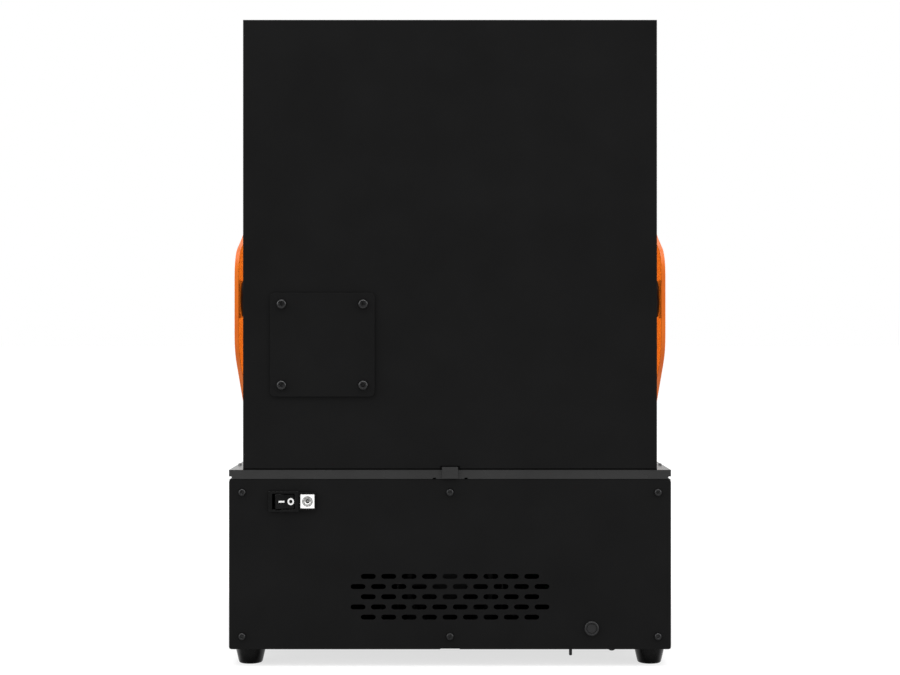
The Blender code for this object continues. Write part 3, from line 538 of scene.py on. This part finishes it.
NICKEL = finish("nickel", (0.66, 0.66, 0.65), 0.3, metallic=0.75)
relief(NICKEL, (mottle(NICKEL, 2800.0), 0.00001, 0.2))
uneven_gloss(NICKEL, mottle(NICKEL, 500.0, 3.0), 0.26, 0.4)
# The inlet's square face: nickel with little metal in it and an almost white colour, partly the
# plating's own pale tone and partly a painted highlight standing in for a soft box mirrored in it.
NICKEL_AND_PAINTED_GLINT = finish("nickel_and_painted_glint", (0.86, 0.86, 0.85), 0.35, metallic=0.12)
relief(NICKEL_AND_PAINTED_GLINT, (mottle(NICKEL_AND_PAINTED_GLINT, 2800.0), 0.00001, 0.2))
uneven_gloss(NICKEL_AND_PAINTED_GLINT, mottle(NICKEL_AND_PAINTED_GLINT, 500.0, 3.0), 0.3, 0.42)
soften("jack_face", 0.12, NICKEL_AND_PAINTED_GLINT)
soften("jack_pin", 0.1, NICKEL)
sleeve_shape = [(1.3, -10.9), (3.15, -10.9), (3.15, 0), (2.8, 0), (2.3, -1.1), (1.3, -1.7)]
sleeve_reach = [0.1, 0.1, 0.1, 0.1, 0.5, 0.2]
sleeve_shape = eased(sleeve_shape, sleeve_reach)
sleeve_mouth = face_middle("jack_sleeve", "rear")
sleeve = turned("flared_sleeve", sleeve_shape, sleeve_mouth, "Y", NICKEL, 48)
stands_for(sleeve, "jack_sleeve")

PLUG = finish("plug_plastic", (0.014, 0.014, 0.0145), 0.45, specular=0.4)
relief(PLUG, (mottle(PLUG, 1900.0), 0.00003, 0.3))
uneven_gloss(PLUG, mottle(PLUG, 150.0, 3.0), 0.38, 0.52)
plug_shape = [(0, -5.5), (3.3, -5.5), (3.5, -4.5), (3.5, -1.2), (4.9, -1.2), (4.9, -0.4), (4.3, 0)]
plug_shape += [(3.8, -0.1), (3.6, -0.75), (3.2, -0.75), (3.0, -0.35), (0, -0.25)]
plug_reach = [0, 0.2, 0.2, 0.2, 0.2, 0.3, 0.3, 0.2, 0.15, 0.15, 0.2, 0]
plug_shape = eased(plug_shape, plug_reach)
plug = turned("spare_hole_plug", plug_shape, face_middle("panel_plug", "rear"), "Y", PLUG)
stands_for(plug, "panel_plug")


# FRONT CONTROLS --------------------------------------------------------------------------------
# A moulded fascia with a black window over the display, a dished start button and a fluted dial
# on its encoder's shaft. Dots round the dial are printed in light grey.

soften("control_fascia", 0.6, BLACK_PLASTIC, segments=3)
soften("dial_encoder", 0.2, PLATED)

WINDOW = finish("display_window", (0.004, 0.004, 0.005), 0.06)
uneven_gloss(WINDOW, mottle(WINDOW, 30.0, 3.0), 0.04, 0.1)
relief(WINDOW, (mottle(WINDOW, 90.0), 0.00002, 0.05))
soften("display_window", 0.3, WINDOW)

button_shape = [(0, 6.0), (8.8, 6.0), (8.8, 4.8), (7.0, 4.8), (7.0, 0.9), (6.1, 0), (5.0, 0.05)]
button_shape += [(3.0, 0.5), (0, 0.7)]
button_reach = [0, 0.2, 0.2, 0.2, 0.7, 0.6, 0.5, 1.2, 0]
button_shape = eased(button_shape, button_reach)
button_front = face_middle("start_button", "front")
button = turned("dished_button", button_shape, button_front, "Y", GREY_PLASTIC)
stands_for(button, "start_button", "start_button")

knob_low, knob_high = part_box("control_knob")
knob_front = face_middle("control_knob", "front")
KNOB_DEPTH = (knob_high.y - knob_low.y) / MM
KNOB_RADIUS = (knob_high.x - knob_low.x) / 2 / MM
KNOB_FLUTES = 48


def fluted(radii, distances, angles):
    """Fine flutes on the dial's side only: the radius dips with one less the cosine of KNOB_FLUTES
    times the angle, and stays whole at the face and the skirt."""
    on_side = (radii > KNOB_RADIUS - 2.6) & (distances > 1.6) & (distances < KNOB_DEPTH - 2.0)
    return radii - np.where(on_side, 0.22 * (1 - np.cos(KNOB_FLUTES * angles)), 0.0)


knob_shape = [(0, 3.8), (3.3, 3.8), (3.3, KNOB_DEPTH), (KNOB_RADIUS, KNOB_DEPTH)]
knob_shape += [(KNOB_RADIUS, KNOB_DEPTH - 1.4), (KNOB_RADIUS - 0.6, KNOB_DEPTH - 1.9)]
knob_shape += [(KNOB_RADIUS - 0.7, KNOB_DEPTH - 3.0), (KNOB_RADIUS - 1.3, 1.9)]
knob_shape += [(KNOB_RADIUS - 2.4, 0.04), (KNOB_RADIUS - 5.0, 0.04)]
knob_shape += [(KNOB_RADIUS - 6.0, 0.5), (0, 0.5)]
knob_reach = [0, 0.3, 0.3, 0.4, 0.3, 0.3, 0.3, 0.6, 0.9, 0.5, 0.5, 0]
knob_shape = eased(knob_shape, knob_reach)
knob = turned("fluted_dial", knob_shape, knob_front, "Y", BLACK_PLASTIC, 384, fluted)
stands_for(knob, "control_knob", "control_knob")


BAR_EASE = 0.2


def raised_bar(name, low, high, material, body="root"):
    """A small bar with soft edges between two corners, in metres: level outlines that draw in at
    the bottom and the top."""
    low, high = np.asarray(low, float), np.asarray(high, float)
    half = (high - low) / 2
    ease = min(BAR_EASE * MM, 0.45 * float(half.min()))
    square = eased([(1, 1), (-1, 1), (-1, -1), (1, -1)], 0.0, 2)
    turn = np.linspace(0.0, np.pi / 2, 4)
    inset = np.concatenate([[half[:2].min()], ease * (1 - np.sin(turn))])
    up = np.concatenate([[half[2]], half[2] - ease * (1 - np.cos(turn))])
    insets = np.concatenate([inset, inset[::-1]])[:, None]
    heights = np.concatenate([up, -up[::-1]])[:, None]
    x = square[None, :, 0] * (half[0] - insets)
    y = square[None, :, 1] * (half[1] - insets)
    points = np.stack([x, y, heights * np.ones_like(x)], axis=-1) + (low + high) / 2
    detail(surface(name, points, material), body)


PRINT = finish("light_print", (0.45, 0.45, 0.44), 0.5)
relief(PRINT, (mottle(PRINT, 2500.0), 0.00001, 0.3))
pointer_low = knob_front + np.array([-0.6, 0.0, 8.5]) * MM
pointer_high = knob_front + np.array([0.6, 0.9, 14.5]) * MM
raised_bar("dial_pointer", pointer_low, pointer_high, PRINT, "control_knob")
fascia_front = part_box("control_fascia")[0].y
DIAL_DOTS = 11
DIAL_SWING = 130.0
DOT_CIRCLE = 21.5
dot_shape = [(0, -0.06), (0.55, -0.06), (0.6, 0.05), (0, 0.05)]
for number, angle in enumerate(np.radians(np.linspace(-DIAL_SWING, DIAL_SWING, DIAL_DOTS))):
    dot_at = knob_front + DOT_CIRCLE * np.array([math.sin(angle), 0.0, math.cos(angle)]) * MM
    dot_at[1] = fascia_front
    dot = turned(f"dial_dot_{number + 1}", dot_shape, dot_at, "Y", PRINT, 20)
    detail(dot)


# TOP PLATE -------------------------------------------------------------------------------------
# The base's folded steel lid, coated in a smoother satin black. Its centre tab hooks over the
# hood's back, its rear bends are relieved at both ends, and low rivets hold its sides.

SATIN_COAT = powder_coat("satin_coat", (0.024, 0.024, 0.024), 0.2, 0.3, 0.3)
soften("top_plate", 0.4, SATIN_COAT)
for node in sorted(nodes):
    if node.startswith("plate_rivet"):
        soften(node, 0.15, BLACK_OXIDE)


# HOOD AND PORT ---------------------------------------------------------------------------------
# The hood is folded from the same sheet and coat as the base. A cover with four larger button-head
# screws closes the port in its back, over a slide-in cassette of activated carbon.

soften("hood_shell", 0.6, MATT_COAT, segments=3)
soften("port_cover", 0.35, MATT_COAT)
for number in range(1, 5):
    button_head(f"cover_screw_{number}", f"port_cover_screw_{number}", 3.3, 2.0, 1.7, 9.0)

# Near-black foam: the light seal inside the hood, and also the black strips outside it that are
# painted shadow.
FOAM_AND_PAINTED_SHADOW = finish("black_foam_and_painted_shadow", (0.0012, 0.0012, 0.0012), 0.95, specular=0.04)
relief(FOAM_AND_PAINTED_SHADOW, (mottle(FOAM_AND_PAINTED_SHADOW, 1500.0, 3.0), 0.0001, 0.5))

# A strip of black foam inside the hood's lower edge keeps light from shining out at the seam.
FOAM_WIDTH = 1.6 * MM
FOAM_HEIGHT = 3.0 * MM
BEHIND_SHEET = 1.6 * MM
hood_low, hood_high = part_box("hood_shell")
seam = hood_low.z - 0.28 * MM
inside_x = hood_high.x - BEHIND_SHEET
inside_y = hood_high.y - BEHIND_SHEET
side_end = inside_y - FOAM_WIDTH - 0.2 * MM
strips = (
    ("rear", (-inside_x, inside_y - FOAM_WIDTH), (inside_x, inside_y)),
    ("left", (inside_x - FOAM_WIDTH, hood_low.y), (inside_x, side_end)),
    ("right", (-inside_x, hood_low.y), (FOAM_WIDTH - inside_x, side_end)),
)
for side, low, high in strips:
    raised_bar(f"foam_{side}", (*low, seam), (*high, seam + FOAM_HEIGHT), FOAM_AND_PAINTED_SHADOW)

# Outside, a thin black strip along the seam at the rear is a painted shadow under the hood's lower
# edge, and another behind the plate's tab shows as a painted shadow line above the tab.
TAB_SHADOW_HALF = 6.6 * MM
TAB_SHADOW_TOP = 136.7 * MM
back = hood_high.y
behind = back - 0.4 * MM
seam_shadow_top = (hood_high.x, back + 0.2 * MM, seam + 0.95 * MM)
raised_bar("seam_shadow_strip", (-hood_high.x, behind, seam), seam_shadow_top, FOAM_AND_PAINTED_SHADOW)
tab_shadow_top = (TAB_SHADOW_HALF, back + 0.24 * MM, TAB_SHADOW_TOP)
raised_bar("tab_shadow_strip", (-TAB_SHADOW_HALF, behind, seam), tab_shadow_top, FOAM_AND_PAINTED_SHADOW)

CARBON = finish("carbon_granules", (0.012, 0.012, 0.013), 0.8)
granules = on_piece(CARBON, "TexVoronoi", Scale=600.0)
relief(CARBON, (granules.outputs["Distance"], 0.0006, 0.8))
soften("filter_cassette", 0.4, CARBON)
soften("shut_sensor", 0.5, BLACK_PLASTIC)


# VISOR -----------------------------------------------------------------------------------------
# One moulding of see-through orange polycarbonate that keeps stray light out. Its cheeks hang
# outside the hood on two spacer bosses, and shoulder screws sunk flush are its pivots.


def clear_plastic(name, colour, roughness, density_tint):
    """Polished see-through plastic. Lamps reach what is inside: for shadow rays a plain tint
    stands in for the bent light."""
    plastic = finish(name, colour, roughness)
    shader = plastic.node_tree.nodes["Principled BSDF"]
    shader.inputs["Transmission Weight"].default_value = 1.0
    shader.inputs["IOR"].default_value = 1.5
    see = add(plastic, "BsdfTransparent", Color=(*density_tint, 1.0))
    path = add(plastic, "LightPath")
    mix = add(plastic, "MixShader")
    join(plastic, path.outputs["Is Shadow Ray"], mix.inputs["Fac"])
    join(plastic, shader.outputs["BSDF"], mix.inputs[1])
    join(plastic, see.outputs["BSDF"], mix.inputs[2])
    output = plastic.node_tree.nodes["Material Output"]
    join(plastic, mix.outputs["Shader"], output.inputs["Surface"])
    relief(plastic, (mottle(plastic, 14.0, 1.0), 0.0002, 0.05))
    return plastic


ORANGE = clear_plastic("orange_polycarbonate", (0.84, 0.18, 0.014), 0.03, (0.95, 0.42, 0.1))
ORANGE_EDGE = finish("orange_edge", (0.85, 0.17, 0.008), 0.35, specular=0.25)
uneven_gloss(ORANGE_EDGE, mottle(ORANGE_EDGE, 60.0, 3.0), 0.25, 0.45)
relief(ORANGE_EDGE, (mottle(ORANGE_EDGE, 900.0), 0.00002, 0.2))
shaded(ORANGE_EDGE, mottle(ORANGE_EDGE, 20.0, 2.0), (0.78, 0.14, 0.006), (0.92, 0.2, 0.01))

PIVOT = np.array(next(j for j in frame["joints"] if j["name"] == "visor_flip")["pos_m"])
visor_low, visor_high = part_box("visor")
VISOR_TOP = visor_high.z / MM
VISOR_BOTTOM = visor_low.z / MM
VISOR_FRONT = visor_low.y / MM
VISOR_TAIL = visor_high.y / MM
VISOR_HALF = visor_high.x / MM
VISOR_WALL = 3.0
EDGE_ROUND = 10.0
BROW_ROUND = 60.0
BROW_REAR = VISOR_TAIL - 58.3
SHOULDER = 304.0
TAIL_TOP = 283.2
TAIL_FOOT = 213.8
HEEL = VISOR_TAIL - 100.3
# How far along the cheek's free edge its corners lie, and how far along the brow and the front
# the points that face them lie, so that no row crosses another round the tail.
TAIL_STOPS = (0.0, 0.278, 0.397, 0.531, 0.776, 1.0)
RIDGE_STOPS = (0.0, 0.54, 0.67, 0.82, 0.95, 1.0)


def along_path(points, places):
    """Points at the given fractions of a path's length."""
    steps = np.linalg.norm(np.diff(points, axis=0), axis=1)
    walked = np.concatenate([[0.0], np.cumsum(steps)])
    places = places * walked[-1]
    return np.stack([np.interp(places, walked, points[:, k]) for k in (0, 1)], axis=1)


def brow(turn):
    """Round of the brow, from level at the top to upright at the front: a quarter circle."""
    centre = np.array([VISOR_FRONT + BROW_ROUND, VISOR_TOP - BROW_ROUND])
    return centre + BROW_ROUND * np.stack([-np.sin(turn), np.cos(turn)], axis=1)


def visor_skin(gap, rows=120, cheek=14, corner=10, middle_columns=16):
    """The visor's skin, drawn in by gap, as one grid. Rows run along the edge from the top rear,
    over the brow and down the front. In each row the columns start on the cheek's free edge, cross
    the flat cheek, turn a quarter circle and cross the middle, and the other side mirrors them."""
    quarter = np.linspace(0.0, np.pi / 2, 40)
    ridge = np.concatenate(
        [[(BROW_REAR, VISOR_TOP)], brow(quarter), [(VISOR_FRONT, VISOR_BOTTOM)]]
    )
    places = np.linspace(0.0, 1.0, rows)
    outer = along_path(ridge, places)
    slope = np.gradient(outer, axis=0)
    slope /= np.linalg.norm(slope, axis=1, keepdims=True)
    normal = np.stack([slope[:, 1], -slope[:, 0]], axis=1)
    inner = outer - EDGE_ROUND * normal
    tail = [
        (BROW_REAR, VISOR_TOP - EDGE_ROUND),
        (BROW_REAR, SHOULDER),
        (VISOR_TAIL, TAIL_TOP),
        (VISOR_TAIL, TAIL_FOOT),
        (HEEL, VISOR_BOTTOM),
        (VISOR_FRONT + EDGE_ROUND, VISOR_BOTTOM),
    ]
    level_with = np.interp(places, RIDGE_STOPS, TAIL_STOPS)
    free = along_path(eased(tail, [0, 18, 17, 13, 12, 0], 9), level_with)
    free[0], free[-1] = inner[0], inner[-1]
    half = VISOR_HALF - gap
    round_by = EDGE_ROUND - gap
    across = np.linspace(0.0, 1.0, cheek)[None, :, None]
    flat = free[:, None] * (1 - across) + inner[:, None] * across
    flat_x = np.full(flat.shape[:2], -half)
    turn = np.linspace(0.0, np.pi / 2, corner)[None, 1:, None]
    bend = inner[:, None] + round_by * np.sin(turn) * normal[:, None]
    bend_x = -(half - round_by + round_by * np.cos(turn[..., 0])) * np.ones((rows, 1))
    skin_x = np.linspace(round_by - half, 0.0, middle_columns)[None, 1:] * np.ones((rows, 1))
    skin = (inner + round_by * normal)[:, None] * np.ones((1, skin_x.shape[1], 1))
    side = np.concatenate([flat, bend, skin], axis=1)
    side_x = np.concatenate([flat_x, bend_x, skin_x], axis=1)
    left = np.concatenate([side_x[..., None], side], axis=-1)
    right = left[:, -2::-1] * np.array([-1.0, 1.0, 1.0])
    return np.concatenate([left, right], axis=1) * MM


def visor_wall():
    """The outer skin and, round its two free edges, the inner one, so that each row is a closed
    thin band. A last row at each end folds the band onto its middle line."""
    outside, inside = visor_skin(0.0), visor_skin(VISOR_WALL)
    fold = (outside + inside) / 2
    band = np.concatenate([outside, inside[:, ::-1]], axis=1)
    ends = np.concatenate([fold, fold[:, ::-1]], axis=1)
    return np.concatenate([ends[:1], band, ends[-1:]])


def settle(piece):
    """Makes the shape that a piece's modifiers give its own mesh."""
    seen = bpy.context.evaluated_depsgraph_get()
    mesh = bpy.data.meshes.new_from_object(piece.evaluated_get(seen))
    piece.modifiers.clear()
    piece.data = mesh


PIVOT_BORE = 3.4
PIVOT_SINK = 6.4


def pivot_cutter():
    """Two bores for the shoulder screws, each with its sink for the head, as closed shapes."""
    tools = []
    for side in (-1, 1):
        wall = (VISOR_HALF - VISOR_WALL) * side
        start, step, end = wall - 2 * side, wall + 1.5 * side, wall + 6 * side
        shape = [(0, start), (PIVOT_BORE, start), (PIVOT_BORE, step)]
        shape += [(PIVOT_SINK, step), (PIVOT_SINK, end), (0, end)]
        centre = (0.0, PIVOT[1], PIVOT[2])
        tools.append(turned("pivot_tool", shape, centre, "X", ORANGE, 64))
    return tools


visor_points = visor_wall()
on_rim = np.zeros((visor_points.shape[0] - 1, visor_points.shape[1]), bool)
on_rim[:, [on_rim.shape[1] // 2 - 1, -1]] = True
on_rim[[0, -1]] = True
visor = surface("orange_visor", visor_points, ORANGE, sharp=40.0, second=(ORANGE_EDGE, on_rim))
for tool in pivot_cutter():
    bore = visor.modifiers.new("Bore", "BOOLEAN")
    bore.object = tool
    bore.operation = "DIFFERENCE"
    bpy.context.view_layer.update()
    settle(visor)
    bpy.data.objects.remove(tool)
rim = visor.modifiers.new("Rim", "BEVEL")
rim.width = 0.5 * MM
rim.segments = 2
rim.limit_method = "ANGLE"
rim.angle_limit = math.radians(50)
visor.data.shade_smooth()
visor.data.set_sharp_from_angle(angle=math.radians(40))
stands_for(visor, "visor", "visor")

for side in ("left", "right"):
    soften(f"pivot_boss_{side}", 0.5, BLACK_PLASTIC)
    soften(f"pivot_screw_{side}", 0.25, BLACK_OXIDE)
soften("visor_grip", 0.5, BLACK_PLASTIC, segments=3, angle=20.0)
soften("visor_magnet", 0.3, PLATED)


# TANK ------------------------------------------------------------------------------------------
# A clear moulded tank with round corners, a stiff rolled rim and a pin in its floor for the
# impeller. Raised bars on its front show how full it is.

CLEAR = clear_plastic("clear_polycarbonate", (0.93, 0.95, 0.96), 0.04, (0.9, 0.93, 0.94))

tank_low, tank_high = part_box("wash_tank")
TANK_AXIS = np.array([middle("wash_tank").x, middle("wash_tank").y])
TANK_BOTTOM = tank_low.z / MM
TANK_TOP = tank_high.z / MM
TANK_FLOOR = 138.3
TANK_HALF_WIDTH = 116.0
TANK_HALF_LENGTH = 75.0
TANK_CORNER = 12.0
RIM_REACH = 6.0
TANK_WALL = 3.0


def corner_rows(half_width, half_length, radius, offset, height, steps=10):
    """Round-cornered rectangles, one for each row of offset and height. An offset moves every side
    out by that much, and the corner's radius grows and shrinks with it, but stays between a tenth
    of a millimetre and half the shorter side."""
    offset = np.asarray(offset, float)[:, None]
    height = np.asarray(height, float)[:, None]
    wide = half_width + offset
    long = half_length + offset
    round_by = np.clip(radius + offset, 0.1, None)
    round_by = np.minimum(round_by, np.minimum(wide, long))
    turn = np.radians(np.linspace(0.0, 90.0, steps))
    angle = np.concatenate([turn + quarter * np.pi / 2 for quarter in range(4)])[None, :]
    side = np.repeat([1, -1, -1, 1], steps)[None, :]
    end = np.repeat([1, 1, -1, -1], steps)[None, :]
    x = side * (wide - round_by) + round_by * np.cos(angle)
    y = end * (long - round_by) + round_by * np.sin(angle)
    points = np.stack([x, y, height * np.ones_like(x)], axis=-1) * MM
    return points + np.array([*TANK_AXIS, 0.0])


rim_foot = TANK_TOP - 3
tank_profile = [(-TANK_HALF_LENGTH, TANK_BOTTOM), (-60, TANK_BOTTOM), (0, TANK_BOTTOM)]
tank_profile += [(0, rim_foot), (RIM_REACH, rim_foot), (RIM_REACH, TANK_TOP)]
tank_profile += [(-TANK_WALL, TANK_TOP), (-TANK_WALL, TANK_FLOOR)]
tank_profile += [(-60, TANK_FLOOR), (-TANK_HALF_LENGTH, TANK_FLOOR)]
tank_out, tank_up = eased(tank_profile, [0, 1, 5, 1.5, 0.9, 1.2, 0.8, 7, 1, 0], 6).T
tank_points = corner_rows(TANK_HALF_WIDTH, TANK_HALF_LENGTH, TANK_CORNER, tank_out, tank_up)
tank = surface("clear_tank", tank_points, CLEAR, sharp=50.0)
stands_for(tank, "wash_tank", "tank")

PIN_RADIUS = 3.4
PIN_TOP = 151.5
pin_foot = TANK_FLOOR + 0.02
pin_shape = [(0, pin_foot), (PIN_RADIUS, pin_foot), (PIN_RADIUS, PIN_TOP - 0.5)]
pin_shape += [(PIN_RADIUS - 0.5, PIN_TOP), (0, PIN_TOP)]
pin_shape = eased(pin_shape, [0, 0.1, 0.3, 0.3, 0])
tank_pin = turned("tank_pin", pin_shape, (*TANK_AXIS, 0.0), "Z", CLEAR, 32)
detail(tank_pin, "tank")

MARK_LEFT = -100.0 * MM
MARK_LOWEST = 190.0 * MM
MARK_STEP = 22.0 * MM
MARK_HALF = 0.5 * MM
LONG_MARK = 18.0 * MM
SHORT_MARK = 11.0 * MM
tank_front = tank_low.y + RIM_REACH * MM
for number in range(6):
    right = MARK_LEFT + (LONG_MARK if number % 2 == 0 else SHORT_MARK)
    level = MARK_LOWEST + MARK_STEP * number
    low = (MARK_LEFT, tank_front - 0.3 * MM, level - MARK_HALF)
    high = (right, tank_front + 0.1 * MM, level + MARK_HALF)
    raised_bar(f"level_mark_{number + 1}", low, high, PRINT, "tank")

soften("impeller_guard", 0.5, GREY_PLASTIC)
soften("impeller", 0.4, GREY_PLASTIC)


# BASKET ----------------------------------------------------------------------------------------
# The prints lie in a slotted basket whose rim hangs on the tank's rim. Its handle is a bent
# stainless wire with its ends through two lugs, folded down on the front rim.

soften("wash_basket", 0.7, GREY_PLASTIC)

handle_joint = next(j for j in frame["joints"] if j["name"] == "basket_handle_swing")
HANDLE_PIVOT = np.array(handle_joint["pos_m"])
HANDLE_REACH = 58.0
HANDLE_HALF = 108.5
HANDLE_END = 117.5
WIRE_RADIUS = 2.0
ELBOW_ROUND = 3.0
KNEE_ROUND = 6.0


def handle_route():
    """The wire's middle line: out through the lug, a tight bend, an arm, a wider bend and half the
    grip, then the mirror of it all."""
    tight = np.radians(np.linspace(270.0, 180.0, 8))
    wide = np.radians(np.linspace(0.0, 90.0, 10))
    elbow = np.array([HANDLE_HALF + ELBOW_ROUND, ELBOW_ROUND])
    elbow = elbow + ELBOW_ROUND * np.stack([np.cos(tight), np.sin(tight)], axis=1)
    knee = np.array([HANDLE_HALF - KNEE_ROUND, HANDLE_REACH - KNEE_ROUND])
    knee = knee + KNEE_ROUND * np.stack([np.cos(wide), np.sin(wide)], axis=1)
    half = np.concatenate([[(HANDLE_END, 0.0)], elbow, knee])
    return np.concatenate([half, half[::-1] * np.array([-1, 1])])


def flat_tube(route, radius, centre, sides=20):
    """A round wire carried along a route that lies flat: rings stand square to the route, and both
    ends close on a point."""
    slope = np.gradient(route, axis=0)
    slope /= np.linalg.norm(slope, axis=1, keepdims=True)
    across = np.stack([-slope[:, 1], slope[:, 0]], axis=1)
    angle = np.linspace(0.0, 2 * np.pi, sides, endpoint=False)
    flat = route[:, None] + radius * np.cos(angle)[None, :, None] * across[:, None]
    up = radius * np.sin(angle)[None, :] * np.ones((len(route), 1))
    points = np.stack([flat[..., 0], -flat[..., 1], up], axis=-1)
    ends = points.mean(axis=1, keepdims=True) * np.ones((1, sides, 1))
    return np.asarray(centre) + np.concatenate([ends[:1], points, ends[-1:]]) * MM


wire_points = flat_tube(handle_route(), WIRE_RADIUS, HANDLE_PIVOT)
wire = surface("wire_handle", wire_points, PLATED, sharp=60.0)
stands_for(wire, "basket_handle", "basket_handle")


# STUDIO ----------------------------------------------------------------------------------------
# A wide white floor under an even white surround, two tall soft lamps and one overhead, and a
# camera level with the machine's waist, square on to its rear panel.

WHITE = finish("studio_white", (0.3, 0.3, 0.3), 0.9, specular=0.1)
glow = WHITE.node_tree.nodes["Principled BSDF"].inputs
glow["Emission Color"].default_value = (1.0, 1.0, 1.0, 1.0)


def but_mirrored(material, seen, in_mirror):
    """A strength that is the same for everything but a mirroring surface, which finds in_mirror."""
    path = add(material, "LightPath")
    mirrored = add(material, "Math", operation="MULTIPLY")
    strength = add(material, "Mix", data_type="FLOAT")
    join(material, path.outputs["Is Glossy Ray"], mirrored.inputs[0])
    join(material, path.outputs["Is Reflection Ray"], mirrored.inputs[1])
    join(material, mirrored.outputs["Value"], strength.inputs[0])
    strength.inputs[2].default_value = seen
    join(material, in_mirror, strength.inputs[3])
    return strength.outputs[0]


def floor_light():
    """The floor glows towards everything but a mirroring surface, which sees that glow only beside
    the machine and not behind or before it."""
    split = on_piece(WHITE, "SeparateXYZ")
    away = add(WHITE, "Math", operation="ABSOLUTE")
    beside = ramp(WHITE, 0.134, 0.142, 0.7, 0.0)
    join(WHITE, split.outputs["Y"], away.inputs[0])
    join(WHITE, away.outputs["Value"], beside.inputs["Value"])
    strength = but_mirrored(WHITE, 0.7, beside.outputs["Result"])
    join(WHITE, strength, glow["Emission Strength"])


floor_light()
floor_side = np.array([-40.0, 40.0])
floor_x, floor_y = np.meshgrid(floor_side, floor_side)
floor_points = np.stack([floor_x, floor_y, 0 * floor_x], axis=-1)
floor = surface("studio_floor", floor_points, WHITE, around=False)

world = bpy.data.worlds.new("studio")
world.use_nodes = True
world.node_tree.nodes["Background"].inputs["Color"].default_value = (1.0, 1.0, 1.0, 1.0)
bpy.context.scene.world = world


def dark_flag():
    """Straight behind the machine, where the studio is unlit, what a surface mirrors is dark, while
    everything else sees an even white."""
    sky = add(world, "TexCoord")
    split = add(world, "SeparateXYZ")
    dim = ramp(world, 0.35, 0.8, 1.0, 0.04, interpolation_type="SMOOTHSTEP")
    join(world, sky.outputs["Generated"], split.inputs["Vector"])
    join(world, split.outputs["Y"], dim.inputs["Value"])
    strength = but_mirrored(world, 1.0, dim.outputs["Result"])
    join(world, strength, world.node_tree.nodes["Background"].inputs["Strength"])


dark_flag()


def soft_lamp(name, place, aim, size, power):
    """A rectangular soft box at a place, turned to face a point."""
    data = bpy.data.lights.new(name, "AREA")
    data.shape = "RECTANGLE"
    data.size, data.size_y = size
    data.energy = power
    lamp = bpy.data.objects.new(name, data)
    lamp.location = place
    towards = np.array(aim) - np.array(place)
    flat = math.hypot(towards[0], towards[1])
    lamp.rotation_euler = (math.atan2(flat, -towards[2]), 0.0, math.atan2(-towards[0], towards[1]))
    bpy.context.scene.collection.objects.link(lamp)


soft_lamp("overhead", (0.0, 0.3, 2.6), (0.0, 0.0, 0.2), (2.6, 2.6), 60.0)
soft_lamp("left_box", (2.2, 0.9, 1.2), (0.0, 0.0, 0.2), (1.2, 1.8), 22.0)
soft_lamp("right_box", (-2.2, 0.9, 1.2), (0.0, 0.0, 0.2), (1.2, 1.8), 22.0)

CAMERA_DISTANCE = 1.1
CAMERA_HEIGHT = 0.224
VIEW_WIDTH = 0.612
SENSOR = 36.0
rear_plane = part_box("base_rear_panel")[1].y
camera_data = bpy.data.cameras.new("camera")
camera_data.sensor_width = SENSOR
camera_data.lens = SENSOR * CAMERA_DISTANCE / VIEW_WIDTH
camera = bpy.data.objects.new("camera", camera_data)
camera.location = (0.0, rear_plane + CAMERA_DISTANCE, CAMERA_HEIGHT)
camera.rotation_euler = (math.pi / 2, 0.0, math.pi)
bpy.context.scene.collection.objects.link(camera)
bpy.context.scene.camera = camera
bpy.context.scene.view_settings.view_transform = "Standard"
